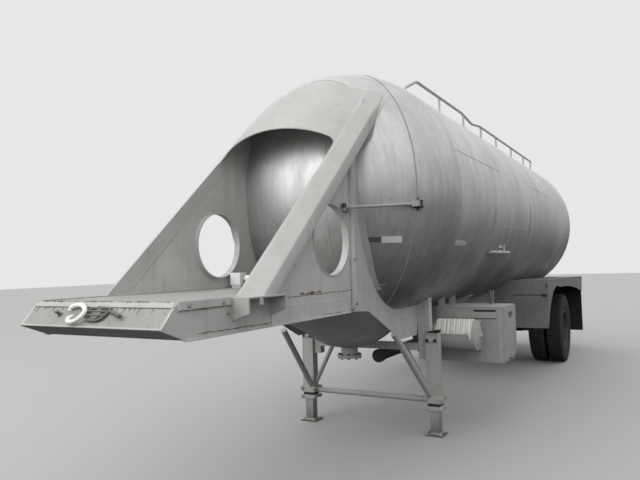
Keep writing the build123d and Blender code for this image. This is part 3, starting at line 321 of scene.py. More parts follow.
# The gooseneck: mild-steel plate, cut, folded and welded, brushed with pale grey enamel long ago. Dust and rain have
# drawn upright runs on it, soil lies low down, and rust shows through where the enamel is chipped.
def old_enamel(name, paint, grime, rusty=0.35, rough=0.52, low_z=0.3, high_z=1.6, dirt=0.45):
    """Brushed enamel: paint, then runs and clouds of grime, soil low down and chips of rust, each mixed over the last.

    Upright runs are 60 mm wide, clouds 400 mm, and chips 60 mm with edges as fine as the render shows."""
    made, tree = blank_material(name)
    spot = add(tree, "ShaderNodeTexCoord").outputs["Object"]
    height = add(tree, "ShaderNodeSeparateXYZ", {0: spot}).outputs["Z"]
    run_map = add(tree, "ShaderNodeMapping", {0: spot, 3: (11.0, 11.0, 0.9)})
    runs = add(tree, "ShaderNodeTexNoise", {0: run_map, 2: 1.6, 3: 7.0, 4: 0.64})
    cloud = add(tree, "ShaderNodeTexNoise", {0: spot, 2: 2.4, 3: 7.0, 4: 0.62})
    chips = add(tree, "ShaderNodeTexNoise", {0: spot, 2: 17.0, 3: 9.0, 4: 0.70})
    ran = add(tree, "ShaderNodeMapRange", {0: runs, 1: 0.48, 2: 0.76, 3: 0.0, 4: 0.38})
    clouded = add(tree, "ShaderNodeMapRange", {0: cloud, 1: 0.42, 2: 0.7, 3: 0.0, 4: 0.4})
    darker_low_down = add(tree, "ShaderNodeMapRange", {0: height, 1: low_z, 2: high_z, 3: dirt, 4: 0.0})
    chipped = add(tree, "ShaderNodeMapRange", {0: chips, 1: 0.61, 2: 0.66, 3: 0.0, 4: rusty})
    colour = linear(paint)
    for share, over in ((ran, grime), (clouded, grime), (darker_low_down, grime), (chipped, "#5b4a40")):
        colour = add(tree, "ShaderNodeMix", {0: share, 6: colour, 7: linear(over)}, data_type="RGBA")
    matt = add(tree, "ShaderNodeMapRange", {0: chips, 1: 0.3, 2: 0.7, 3: rough, 4: rough + 0.2})
    relief = add(tree, "ShaderNodeBump", {"Strength": 0.3, "Distance": 0.0015, "Height": chips})
    coat = add(tree, "ShaderNodeBsdfPrincipled", {"Base Color": colour, "Roughness": matt, "Normal": relief})
    add(tree, "ShaderNodeOutputMaterial", {0: coat})
    return made


def dress(material, *nodes):
    """Gives CAD nodes their finish."""
    for name in nodes:
        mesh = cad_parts[name].data
        mesh.materials.clear()
        mesh.materials.append(material)


# Satin grey on upright plate, paler and cleaner on the slope that rain washes, worn matt and rusty on the deck.
grey_enamel = old_enamel("grey_enamel_on_plate", "#cacac8", "#979692")
pale_enamel = old_enamel("pale_enamel_on_slope", "#bdbdbb", "#a09f9b", rusty=0.15)
deck_enamel = old_enamel("trodden_enamel_on_deck", "#a6a6a4", "#7c7a75", rusty=0.6)
dress(grey_enamel, "side_plate_left", "side_plate_right", "conduits", "edge_angles", "cross_members")
dress(deck_enamel, "deck_plate", "nose_plate")
# Darker, rusting enamel that makes the head's seams read as drawn lines.
dull_weld = old_enamel("dull_enamel_on_welds", "#9c9c9a", "#75746f", rusty=0.6)
piece("cap_weld", cap_beads, dull_weld)

# The hood and the two pillars under it: folded plate, welded into one skin and run out on the dome without a step. The
# pillars lie in the slope's plane and slant back outwards. Between them the hood is a vault, cut square in front and
# ruled straight back to its weld on the dome, so that it stands clear of the dome like the peak of a cap.
slope = math.radians(41.45)
slope_foot = np.array([4.4565, 0.0, 1.456])
slope_way = np.array([-math.cos(slope), 0.0, math.sin(slope)])
slope_out = np.array([math.sin(slope), 0.0, math.cos(slope)])
leftwards = np.array([0.0, 1.0, 0.0])
vault_half, vault_rise, arch_foot, arch_rise, arch_corner = 0.527, 0.161, 1.5865, 0.0961, 0.045
pillar_edge, pillar_fold, pillar_slant, pillar_deep, pillar_root = 0.650, 0.541, 0.066, 0.146, 0.117
hood_lap, edge_drop, bisections = 0.002, 0.003, 26
weld_top, weld_fall, weld_half, weld_lowest = 2.600, 0.200, 0.430, 2.460


def head_over_slope(s, y):
    """Height of the front head, a lap proud, over the slope's plane at (s, y), bisected along the plane's normal."""
    inside, outside = np.full(s.shape, -1.2), np.full(s.shape, 1.6)
    for _ in range(bisections):
        middle = (inside + outside) / 2
        at = slope_foot + s[..., None] * slope_way + middle[..., None] * slope_out
        r = np.hypot(y, at[..., 2] - axis_z)
        within = (r < tank_radius) & (at[..., 0] < at_radius(np.minimum(r, tank_radius - 1e-4)) + hood_lap)
        inside, outside = np.where(within, middle, inside), np.where(within, outside, middle)
    return (inside + outside) / 2


def fold_height(y):
    """Height of the pillars' front face: a lap up to the fold, then falling evenly to the outer edge."""
    return hood_lap - pillar_slant * np.clip((np.abs(y) - pillar_fold) / (pillar_edge - pillar_fold), 0, 1)


def fold_depth(y):
    """Height of the pillars' back face, falling evenly from its root to the outer edge."""
    return np.interp(np.abs(y), [vault_half, pillar_edge], [-pillar_root, -pillar_deep])


def weld_line(y):
    """Where the skin could end on the dome: its top up the slope in the middle, less by the square of y."""
    return weld_top - weld_fall * (y / weld_half)**2


def laid_on(plate, head, ease):
    """Plate height laid on a head: the head plus half of (gap + root of gap^2 + ease^2), which rounds the corner."""
    gap = plate - head
    return head + (gap + np.sqrt(gap**2 + ease**2)) / 2


def from_slope(s, y, rise):
    """Point at s up the slope, y across and rise over its plane."""
    return slope_foot + s[..., None] * slope_way + rise[..., None] * slope_out + y[..., None] * leftwards


def leaf(front, back):
    """Closed sheet between two grids: the front, the back turned over, and a strip between their four edges."""
    rows, columns = front.shape[:2]
    points = np.concatenate([front.reshape(-1, 3), back.reshape(-1, 3)])
    index = np.arange(rows * columns).reshape(rows, columns)
    face = np.stack([index[:-1, :-1], index[1:, :-1], index[1:, 1:], index[:-1, 1:]], -1).reshape(-1, 4)
    rim = np.concatenate([index[:-1, 0], index[-1, :-1], index[:0:-1, -1], index[0, :0:-1]])
    beyond, under = np.roll(rim, -1), rows * columns
    return outwards(points, [face, face[:, ::-1] + under, np.stack([beyond, rim, rim + under, beyond + under], -1)])


steps = np.linspace(0, 1, 90)[:, None]
wall_y = np.concatenate([np.linspace(vault_half, pillar_edge - 0.004, 12)[1:], [pillar_edge]])
hood_y = vault_half * np.sin(np.linspace(-np.pi / 2, np.pi / 2, 97))
hood_y = np.concatenate([-wall_y[::-1], hood_y, wall_y])
inner = np.minimum(np.abs(hood_y) / vault_half, 1)
corner = np.clip(np.abs(hood_y) - vault_half + arch_corner, 0, arch_corner)
corner = arch_corner - np.sqrt(arch_corner**2 - corner**2)
arch_edge = arch_foot + arch_rise * (1 - inner**6)**(1 / 6) - corner
# From the arch the skin is ruled to the dome; above the pillars it settles on the dome before it ends.
hood_end = np.maximum(weld_line(hood_y), weld_lowest)
hood_s = arch_edge * (1 - steps) + hood_end * steps
hood_across = hood_y + 0 * steps
vault = vault_rise * (1 - inner**2)**0.9 + fold_height(hood_y)
over_head = head_over_slope(hood_s, hood_across)
landing = np.maximum(head_over_slope(hood_end, hood_y), fold_height(hood_y))
ruled = vault * (1 - steps) + landing * steps
settle = np.clip((hood_s - 2.12) / 0.30, 0, 1)
settle = np.where(np.abs(hood_across) > 0.45, settle, 0) * np.clip((np.abs(hood_across) - 0.45) / 0.15, 0, 1)
ruled = over_head + (ruled - over_head) * (1 - settle**2 * (3 - 2 * settle))
ease = 0.030 * np.sqrt(1 - steps) * np.minimum(1, steps * 8)
sunk = 0.004 * steps**12
rise = laid_on(ruled, over_head, ease) - sunk - edge_drop * (np.abs(hood_y) == pillar_edge)
hood_front = from_slope(hood_s, hood_across, rise)
deep = np.where(inner < 1, rise - 0.010, fold_depth(hood_y) + 0 * steps)
skin = [leaf(hood_front, from_slope(hood_s, hood_across, np.minimum(deep, rise - 0.004)))]
for side in (-1, 1):
    post_y = side * np.concatenate([[vault_half], wall_y])
    post_grids = []
    for rise in (fold_height(post_y) - edge_drop * (np.abs(post_y) == pillar_edge), fold_depth(post_y)):
        post_s = -rise / math.tan(slope) * (1 - steps) + (arch_foot - arch_corner) * steps
        post_grids.append(from_slope(post_s, post_y + 0 * steps, rise + 0 * steps))
    skin.append(leaf(*post_grids))
hood = piece("hood_and_pillars", skin, pale_enamel, crease=50)
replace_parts(hood, "hood_plate", "pillars")
lip = tube((hood_front[0] - 0.005 * slope_out)[12:-12], 0.006, 8)
weld_y = np.linspace(-0.05, 0.33, 60)
weld_s = weld_line(weld_y)
weld_run = from_slope(weld_s, weld_y, head_over_slope(weld_s, weld_y) - 0.002)
radial = np.linspace(0, 1, 30)[:, None] * np.array([0.110, 0.037, -0.104]) + np.array([2.580, 0.175, 3.233])
radial[:, 0] = at_radius(np.hypot(radial[:, 1], radial[:, 2] - axis_z))
piece("hood_welds", [bead(weld_run, 0.005), lip, bead(radial, 0.003)], pale_enamel)


# Seams, lips and stiffeners of the gooseneck: welds along the deck and keel, a rolled lip on the nose, cover strips on
# the dome beside the side plates, rings round the holes, all of the same plate and enamel as their neighbours.
def blocks(middles, size, soft=0.0015, axes=np.eye(3)):
    """Chamfered blocks: each corner is three points, each full out along one axis and a chamfer short along two."""
    middles = np.atleast_2d(np.asarray(middles, float))
    half = np.broadcast_to(np.asarray(size, float) / 2, middles.shape)
    bits = np.arange(8)[:, None] >> np.arange(3) & 1
    sign = 2.0 * bits - 1
    local = sign[:, None] * (half[:, None, None] - min(soft, half.min() * 0.45) * (1 - np.eye(3)))
    points = (middles[:, None, None] + local @ axes).reshape(-1, 3)
    quads = []
    for axis in range(3):
        one, two = 1 << (axis + 1) % 3, 1 << (axis + 2) % 3
        for end in (0, 1 << axis):
            around = [3 * k + axis for k in (end, end | one, end | one | two, end | two)]
            quads.append(around if end else around[::-1])
        for at_one in (0, one):
            for at_two in (0, two):
                near, far = at_one | at_two, at_one | at_two | 1 << axis
                k1, k2 = (axis + 1) % 3, (axis + 2) % 3
                around = [3 * near + k1, 3 * far + k1, 3 * far + k2, 3 * near + k2]
                quads.append(around[::-1] if bool(at_one) == bool(at_two) else around)
    corners = [[3 * k, 3 * k + 1, 3 * k + 2][::1 if sign[k].prod() > 0 else -1] for k in range(8)]
    shift = 24 * np.arange(len(middles))[:, None, None]
    return points, [(np.array(quads) + shift).reshape(-1, 4), (np.array(corners) + shift).reshape(-1, 3)]


def turned(profile, origin, axis, sides=24, closed=False):
    """Body turned about a line from profile points (along, radius); a closed profile makes a hoop."""
    profile = np.asarray(profile, float)
    one, two, way = facing(axis)
    angle = np.linspace(0, 2 * np.pi, sides, endpoint=False)[:, None]
    spokes = np.cos(angle) * one + np.sin(angle) * two
    points = np.asarray(origin, float) + profile[:, 0, None, None] * way + profile[:, 1, None, None] * spokes
    return outwards(*patch(points, True, True)) if closed else ringed(points)


def repeated(part, places, axes=None):
    """One body set at many places, first turned by its axes where they are given."""
    points, faces = part
    places = np.atleast_2d(np.asarray(places, float))
    set_out = (points[None] if axes is None else points[None] @ axes) + places[:, None]
    shift = len(points) * np.arange(len(places))[:, None, None]
    return set_out.reshape(-1, 3), [(group + shift).reshape(-1, group.shape[1]) for group in faces]


def bolts(places, way, across=0.024, high=0.014):
    """Hexagon heads on washers: a six-sided prism, its edges taken off, over a thin disc, looking along the way."""
    size = across / math.sqrt(3)
    head = turned([(0.002, size), (high - 0.002, size), (high, size * 0.86)], (0, 0, 0), (0, 0, 1), 6)
    washer = turned([(-0.002, size * 1.45), (0.002, size * 1.45), (0.0025, size * 1.38)], (0, 0, 0), (0, 0, 1), 14)
    return [repeated(part, places, facing(way)) for part in (head, washer)]


def straight(a, b, count=2):
    """Points at equal steps from a to b."""
    a, b = np.asarray(a, float), np.asarray(b, float)
    return a + np.linspace(0, 1, count)[:, None] * (b - a)


deck_z, neck_half = 1.456, 0.540
deck_front, nose_front, nose_low = 4.932, 5.050, 1.329
nose_run = np.array([nose_front - deck_front, 0.0, nose_low - deck_z])
nose_length = np.linalg.norm(nose_run)
nose_run = nose_run / nose_length
nose_out = np.array([-nose_run[2], 0.0, nose_run[0]])
nose_axes = np.stack([nose_run, [0.0, 1.0, 0.0], nose_out])


def on_nose(y, t, out=0.0):
    """Point of the slanted nose, t down its face from the deck's edge and out from it."""
    return np.array([deck_front, 0.0, deck_z]) + t * nose_run + out * nose_out + y * leftwards


trim = []
# From x to x, y, z, steps and width of each weld.
for back, front, y, z, count, width in ((4.45, 4.925, 0.541, 1.457, 60, 0.004), (2.95, 4.925, 0.524, 1.459, 200, 0.006),
                                        (3.13, 4.88, 0.547, 1.262, 120, 0.004)):
    trim += [bead(straight((back, side * y, z), (front, side * y, z), count), width) for side in (-1, 1)]
# Folded lip along the top of the nose, 38 mm deep, standing 5 mm proud.
trim.append(blocks([on_nose(0.0, 0.019, 0.0025)], (0.038, 1.066, 0.005), 0.0015, nose_axes))
trim.append(blocks([on_nose(0.0, nose_length - 0.006, 0.002)], (0.010, 1.07, 0.004), 0.001, nose_axes))
# Stiffening bar on the inner face of each side plate, along the lower part of the slope.
bar_way = facing((-0.738, 0.0, 0.675))[2]
bar_axes = np.stack([np.cross((0.0, 1.0, 0.0), bar_way), [0.0, 1.0, 0.0], bar_way])
trim += [blocks([(4.03, side * 0.5255, 1.697)], (0.012, 0.005, 0.60), 0.001, bar_axes) for side in (-1, 1)]
# Cover strips on the dome beside each side plate, thin plate following the dished head: width at each height.
strip_z = np.linspace(2.961, 1.40, 90)
strip_at = [-2.961, -2.899, -2.836, -2.775, -2.658, -2.618, -2.553, -2.521, -2.457, -2.377, -2.082, -1.768, -1.46]
strip_wide = [0.148, 0.138, 0.132, 0.116, 0.110, 0.105, 0.068, 0.042, 0.016, 0.006, 0.038, 0.056, 0.041]
strip_wide = np.interp(-strip_z, strip_at, strip_wide)
for side in (-1, 1):
    strip_y = side * (neck_half - 0.004 + strip_wide[:, None] * np.linspace(0, 1, 6))
    strip = xyz(at_radius(np.hypot(strip_y, (strip_z - axis_z)[:, None])), strip_y, strip_z[:, None])
    trim.append(leaf(strip + (0.0035, 0.0, 0.0), strip - (0.006, 0.0, 0.0)))
# Rims of the two round holes: a ring rolled from flat bar stands out of the plate.
hole_rim = [(-0.003, 0.256), (0.0045, 0.256), (0.0045, 0.266), (-0.003, 0.270)]
trim += [turned(hole_rim, (3.350, side * neck_half, 1.802), (0, side, 0), 96, True) for side in (-1, 1)]
piece("gooseneck_trim", trim, pale_enamel)

# Foot brackets of the pillars: a 10 mm top plate over two gussets of 12 mm plate, cut off slanting below, and a short
# tongue that hangs from the plate in the open side between them. All edges are welded.
feet = []
for side in (-1, 1):
    feet.append(blocks([(4.3305, side * 0.600, 1.451)], (0.373, 0.120, 0.010), 0.0015))
    feet.append(blocks([(4.395, side * 0.656, 1.4275)], (0.034, 0.008, 0.041), 0.0015))
    for gusset_x in (4.144, 4.505):
        gusset = np.array([[(gusset_x, side * 0.540, 1.447), (gusset_x, side * 0.660, 1.447)],
                           [(gusset_x, side * 0.540, 1.325), (gusset_x, side * 0.660, 1.367)]])
        feet.append(leaf(gusset + (0.012, 0.0, 0.0), gusset))
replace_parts(piece("pillar_feet", feet, pale_enamel), "foot_brackets")

# Bolts of the gooseneck: forged steel, hexagon heads on thin washers, brushed over with the deck's enamel. They stand
# at the front corners under the deck's edge, and at the rear ends of the side plates.
fixings = []
for side in (-1, 1):
    for places in ([(4.858, 0.548, 1.437), (4.588, 0.548, 1.433)],
                   [(4.544, 0.540, 1.372), (3.040, 0.568, 1.660), (3.037, 0.568, 1.322), (3.065, 0.546, 1.283)]):
        fixings += bolts(np.array(places) * (1, side, 1), (0, side, 0), 0.018, 0.010)
piece("gooseneck_bolts", fixings, deck_enamel)


# Rust: where plates meet, water stands and rust creeps out from under the enamel, in broken bands along the seams and
# thin drips below the nose's lip. Each is a sheet about a millimetre thick over the plate.
def stains(spots, out, axes, seed):
    """Thin drips hung below a seam: each a blade of its own width and length, tapering to its foot."""
    rng = np.random.default_rng(seed)
    spots = np.asarray(spots, float)
    count = len(spots)
    wide, long_ = rng.uniform(0.0008, 0.0022, count), rng.uniform(0.006, 0.040, count)
    (down, over, away), thick = axes, 0.0012
    corners = np.array([(0, -1), (0, 1), (0.55, 0.6), (1, 0.12), (1, -0.12), (0.55, -0.6)])
    front = spots[:, None] + corners[None, :, 0, None] * long_[:, None, None] * down + \
        corners[None, :, 1, None] * wide[:, None, None] * over + away * (out + thick)
    back = front - away * 2 * thick
    points = np.concatenate([front, back], 1).reshape(-1, 3)
    top = np.arange(6)
    sides = np.stack([top, (top + 1) % 6, (top + 1) % 6 + 6, top + 6], -1)
    shift = 12 * np.arange(count)[:, None, None]
    hexes = np.stack([top[::-1], top + 6])
    return outwards(points, [(sides + shift).reshape(-1, 4), (hexes + shift).reshape(-1, 6)])


def ragged(a, b, out, wide, seed, count=90, thick=0.0012):
    """Broken band of rust from a to b: its edges wander by sums of sines of unlike lengths and pinch it off."""
    rng = np.random.default_rng(seed)
    a, b, out = (np.asarray(value, float) for value in (a, b, out))
    along = np.linspace(0, 1, count)
    reach = np.linalg.norm(b - a)
    edges = []
    for sign in (-1, 1):
        waves = [np.sin(2 * np.pi * along * reach / wave_length + rng.uniform(0, 6.3))
                 for wave_length in (0.31, 0.13, 0.067, 0.029)]
        edges.append(sign * wide * np.clip(0.42 + 0.30 * sum(waves), 0.0, 1.3))
    over = np.cross(out, (b - a) / reach)
    line = a + along[:, None] * (b - a)
    face = np.stack([line + edge[:, None] * over for edge in edges], 1)
    return leaf(face + thick * out, face - thick * out)


drip_y = np.random.default_rng(3).uniform(-0.52, 0.52, 30)
marks = [stains([on_nose(y, 0.037) for y in drip_y], 0.0005, (nose_run, leftwards, nose_out), 4)]
marks.append(ragged(on_nose(-0.52, 0.040), on_nose(0.52, 0.040), nose_out, 0.0032, 21, 260, 0.0008))
marks.append(ragged(on_nose(-0.53, 0.003, 0.0050), on_nose(0.53, 0.003, 0.0050), nose_out, 0.0040, 23, 260, 0.0006))
marks.append(ragged((4.925, -0.52, deck_z), (4.925, 0.52, deck_z), (0.0, 0.0, 1.0), 0.007, 25, 260, 0.0006))
# From (x, y, z) to (x, y, z), half width, seed and steps of each band on a side plate.
side_bands = [((4.12, neck_half, 1.421), (3.07, neck_half, 1.424), 0.0042, 7, 160),
              ((3.80, neck_half, 1.437), (3.52, neck_half, 1.433), 0.009, 9, 60),
              ((3.070, neck_half, 1.665), (3.066, neck_half, 1.275), 0.0035, 11, 80),
              ((4.93, neck_half + 0.008, 1.415), (4.53, neck_half + 0.008, 1.415), 0.0030, 14, 90),
              ((4.80, neck_half, 1.287), (3.20, neck_half + 0.006, 1.273), 0.0035, 17, 200)]
for side in (-1, 1):
    for a, b, wide, seed, count in side_bands:
        a, b = np.array([a, b]) * (1, side, 1)
        marks.append(ragged(a, b, (0, side, 0), wide, seed + side, count))
    deck_edge = side * 0.520
    marks.append(ragged((4.90, deck_edge, deck_z), (3.00, deck_edge, deck_z), (0.0, 0.0, 1.0), 0.006, 30 + side, 220))
marks.append(turned([(-0.001, 0.016), (0.0012, 0.015), (0.0016, 0.008)], (3.649, neck_half, 1.433), (0, 1, 0), 14))
# Matt brown-grey rust, rough enough to kill the plate's sheen.
rust_stain = old_enamel("rust_in_seams", "#6a5a50", "#453b35", rusty=0.8, rough=0.8, dirt=0.0)
piece("rust_marks", marks, rust_stain)

# The stay from the left side plate to the dome ends in a clamp of dark forged jaws, and an eye holds its front end.
# Below it two blank marking plates, one dark and one white, lie on the dome.
jaws = [blocks([(2.640, 0.945, 2.102), (2.640, 0.945, 2.058), (2.662, 0.975, 2.080)],
               [(0.085, 0.062, 0.016), (0.085, 0.062, 0.016), (0.030, 0.016, 0.062)], 0.003)]
jaw_pin = [(-0.050, 0.009), (0.050, 0.009), (0.056, 0.005)]
jaws += [turned(jaw_pin, (x, 0.948, 2.080), (0, 0, 1), 12) for x in (2.630, 2.662)]
eye_rim = [(-0.008, 0.018), (0.008, 0.018), (0.008, 0.010), (-0.008, 0.010)]
jaws.append(turned(eye_rim, (3.195, 0.566, 2.060), (0.3, 1, 0), 20, True))
jaws += bolts([(2.670, 0.935, 2.100), (2.670, 0.935, 2.060)], (1, 0.3, 0), 0.018, 0.010)
piece("stay_jaws", jaws, old_enamel("dark_forged_jaws", "#4c4b49", "#2b2a28", rusty=0.6, rough=0.6))


def on_dome(corners, thick=0.002):
    """Thin plate laid on the front head: its corners' y and z are filled in evenly, x read off the head's profile."""
    u, v = np.meshgrid(np.linspace(0, 1, 8), np.linspace(0, 1, 8), indexing="ij")
    y, z = [(1 - u) * (1 - v) * a + u * (1 - v) * b + u * v * c + (1 - u) * v * d for a, b, c, d in zip(*corners)]
    face = xyz(at_radius(np.hypot(y, z - axis_z)), y, z)
    return leaf(face + (thick, 0.0, 0.0), face - (thick, 0.0, 0.0))


dark_mark = on_dome([(0.552, 1.829), (0.678, 1.829), (0.672, 1.789), (0.545, 1.790)])
light_mark = on_dome([(0.685, 1.832), (0.818, 1.832), (0.810, 1.781), (0.678, 1.781)], 0.0028)
piece("blank_plate_dark", [dark_mark], old_enamel("dull_black_plate", "#5a5a58", "#4a4a48", rusty=0.1))
chalked_white = old_enamel("chalked_white_plate", "#e6e6e3", "#c4c4c0", rusty=0.05, dirt=0.1)
piece("blank_plate_white", [light_mark], chalked_white)


# Fittings of the nose: a tow hook bent from round bar and painted white, the round coupling with its flap and hinge
# bars, a tap with a thick handle, and a four-armed knob, all greasy iron. Each is placed on the slanted nose.
def eased(points, ease, steps=7):
    """Path with each corner p rounded: (1 - t)^2 a + 2 t (1 - t) p + t^2 b, a and b being on the runs, ease from p."""
    points = np.asarray(points, float)
    run = np.diff(points, axis=0)
    length = np.linalg.norm(run, axis=1, keepdims=True)
    reach = np.minimum(ease, 0.49 * np.minimum(length[:-1], length[1:]))
    before, after = points[1:-1] - run[:-1] / length[:-1] * reach, points[1:-1] + run[1:] / length[1:] * reach
    t = np.linspace(0, 1, steps)[None, :, None]
    bends = (1 - t)**2 * before[:, None] + 2 * t * (1 - t) * points[1:-1, None] + t**2 * after[:, None]
    return np.concatenate([points[:1], bends.reshape(-1, 3), points[-1:]])


# White paint, clean and half glossy, is the brightest thing on the nose; greasy iron is dark with a dull shine.
white_paint = old_enamel("white_paint_on_iron", "#fbfbfa", "#dddcd8", rusty=0.03, rough=0.45, dirt=0.0)
black_iron = old_enamel("greasy_black_iron", "#75746f", "#484744", rusty=0.4, rough=0.5, dirt=0.1)
hook_line = [(-0.135, 0.110, 0.010), (-0.130, 0.138, 0.028), (-0.112, 0.160, 0.030), (-0.070, 0.160, 0.030),
             (-0.036, 0.128, 0.030), (-0.032, 0.088, 0.030), (-0.070, 0.054, 0.030), (-0.130, 0.040, 0.028),
             (-0.190, 0.052, 0.016), (-0.196, 0.066, 0.004)]
hook = tube(eased([on_nose(*p) for p in hook_line], 0.03), 0.0125, 14)
piece("tow_hook", [hook], white_paint)
bar_line = [(-0.035, 0.052, 0.012), (0.125, 0.050, 0.012), (0.108, 0.108, 0.014), (0.078, 0.134, 0.014),
            (-0.008, 0.134, 0.014), (-0.035, 0.108, 0.013), (-0.035, 0.054, 0.012)]
greasy = [tube(eased([on_nose(*p) for p in bar_line], 0.018), 0.0068, 12)]
cup_rim = [(0.0, 0.046), (0.006, 0.046), (0.010, 0.036), (0.018, 0.034), (0.020, 0.026)]
greasy.append(turned(cup_rim, on_nose(0.042, 0.092), nose_out, 36))
for spot, size, soft in (((0.042, 0.090, 0.003), (0.076, 0.136, 0.006), 0.002),
                         ((0.042, 0.078, 0.020), (0.008, 0.150, 0.008), 0.002),
                         ((0.042, 0.104, 0.020), (0.008, 0.150, 0.008), 0.002),
                         ((0.042, 0.046, 0.010), (0.014, 0.060, 0.014), 0.003)):
    greasy.append(blocks([on_nose(*spot)], size, soft, nose_axes))
knob = on_nose(-0.262, 0.093)
greasy.append(turned([(0.0, 0.014), (0.006, 0.014), (0.007, 0.007), (0.026, 0.007)], knob, nose_out, 20))
greasy += [blocks([knob + 0.028 * nose_out], size, 0.002, nose_axes)
           for size in ((0.022, 0.009, 0.008), (0.009, 0.046, 0.008))]
tap = [on_nose(*p) for p in ((0.142, 0.079), (0.142, 0.079, 0.024), (0.175, 0.090, 0.028), (0.240, 0.112, 0.024))]
tap_r = np.interp(np.linspace(0, 1, 16), [0, 0.5, 0.62, 0.7, 1], [0.008, 0.007, 0.007, 0.012, 0.011])
greasy.append(tube(eased(tap, 0.02), tap_r, 14))
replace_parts(piece("nose_ironwork", greasy, black_iron), "nose_fittings")

# Landing legs: square tubes with welded collars, top plates and pads, braced by round bars. They have stood in gravel,
# so soil climbs up them, and their bolts and pins are bare steel gone dull.
dress(grey_enamel, "leg_housings", "leg_braces", "leg_hangers")
dress(old_enamel("muddy_enamel_on_feet", "#bcbcba", "#5a5753", rusty=0.5, low_z=0.0, high_z=0.30, dirt=0.9), "leg_feet")
leg_x, leg_y = 1.680, 0.681
# Pins through a leg's two collars (across it, and up), the boss on each pin, and the corners of the pad's weld.
collar_pins = ((-0.072, 0.342), (0.072, 0.342), (-0.068, 0.252), (0.068, 0.252))
boss = [(-0.014, 0.021), (0.014, 0.021), (0.017, 0.018)]
pad_corners = np.array([(-0.045, -0.045), (0.045, -0.045), (0.045, 0.045), (-0.045, 0.045), (-0.045, -0.044)])
fittings, shade_and_rust_marks = [], []
for side in (-1, 1):
    y = side * leg_y
    fittings.append(blocks([(leg_x, y, 0.952), (leg_x, y, 0.344), (leg_x, y, 0.252), (leg_x + 0.062, y, 0.90)],
                           [(0.126, 0.134, 0.005), (0.126, 0.154, 0.030), (0.128, 0.142, 0.034), (0.003, 0.100, 0.055)],
                           0.005))
    fittings += [turned(boss, (leg_x + fore, y + off, z), (1, 0, 0), 24) for fore in (0.060, -0.060)
                 for off, z in collar_pins]
    fittings += bolts([(leg_x + 0.077, y + off, z) for off, z in collar_pins], (1, 0, 0), 0.018, 0.010)
    fittings += bolts([(leg_x + 0.025, side * 0.622, z) for z in (0.80, 1.02, 1.20)], (1, 0, 0), 0.020, 0.011)
    pad_bolts = [(leg_x + fore, y + off, 0.0155) for fore in (-0.068, 0.068) for off in (-0.066, 0.066)]
    fittings += bolts(pad_bolts, (0, 0, 1), 0.020, 0.010)
    pad_weld = xyz(leg_x + pad_corners[:, 0], y + pad_corners[:, 1], 0.019)
    fittings.append(tube(eased(pad_weld, 0.006, 4), 0.006, 8))
    seam_x = leg_x + 0.0475
    fittings += [bead(straight((seam_x, y + off, 0.37), (seam_x, y + off, 0.94), 90), 0.003) for off in (-0.060, 0.060)]
    # Dark rings in the pin holes, a band between the collars, and a sheet on the top plate with its two holes are
    # painted shade, with some rust.
    pin_hole = [(-0.002, 0.0165), (0.0012, 0.0165), (0.0014, 0.014)]
    shade_and_rust_marks += [turned(pin_hole, (1.7445, side * at, 0.885), (1, 0, 0), 24) for at in (0.642, 0.718)]
    hole_sizes = [(0.1145, 0.1145, 0.036), (0.105, 0.110, 0.010)]
    shade_and_rust_marks.append(blocks([(leg_x, y, 0.288), (leg_x, y, 0.957)], hole_sizes, 0.004))
    shade_and_rust_marks += [turned([(-0.05, 0.010), (0.05, 0.010)], (leg_x + fore, y + 0.020, 0.966), (0, 1, 0.15), 10)
              for fore in (-0.02, 0.028)]
piece("leg_fittings", fittings, grey_enamel)
piece("leg_dark_parts", shade_and_rust_marks, old_enamel("shadow_and_rust_on_legs", "#33302d", "#211f1d", rusty=0.6))

# Air reservoir: a rolled steel shell with pressed heads, held by two straps, with drain and inlet cocks joined by a
# thin pipe. A white quilted cloth is laid over it, wrinkled and frayed at its front edge.
tank_enamel = old_enamel("dull_enamel_on_reservoir", "#c8c8c6", "#8c8a86", rusty=0.4, rough=0.55)
dress(tank_enamel, "reservoir")
vessel_x, vessel_z, vessel_r = 1.422, 0.907, 0.143
vessel_a, seam_r, strap_y = np.linspace(0, 2 * np.pi, 90, endpoint=False), vessel_r + 0.001, (0.72, 0.95)
cock_x, cock_y, strap_half = 1.196, 0.995, 0.016
bands = [bead(xyz(vessel_x + seam_r * np.sin(vessel_a), y, vessel_z + seam_r * np.cos(vessel_a)), 0.004, True)
         for y in (0.668, 1.008)]
strap_in, strap_out = vessel_r - 0.002, vessel_r + 0.0035
strap = [(-strap_half, strap_in), (-strap_half, strap_out), (strap_half, strap_out), (strap_half, strap_in)]
bands += [turned(strap, (vessel_x, y, vessel_z), (0, 1, 0), 64, True) for y in strap_y]
bands += [blocks([(vessel_x - 0.10, y, 1.035)], (0.150, 0.032, 0.008), 0.002) for y in strap_y]
cock = [(-0.010, 0.010), (0.004, 0.010), (0.006, 0.020), (0.020, 0.022), (0.030, 0.018), (0.034, 0.008)]
bands += [turned(cock, (cock_x, cock_y, z), (1, 0, 0), 18) for z in (1.015, 0.759)]
bands.append(tube(straight((1.204, cock_y, 0.762), (1.204, cock_y, 1.012), 12), 0.005, 8))
end_boss = [(-0.012, 0.030), (0.012, 0.030), (0.020, 0.022), (0.034, 0.020), (0.036, 0.014)]
bands.append(turned(end_boss, (vessel_x, 1.045, vessel_z), (0, 1, 0), 28))
piece("reservoir_fittings", bands, tank_enamel)
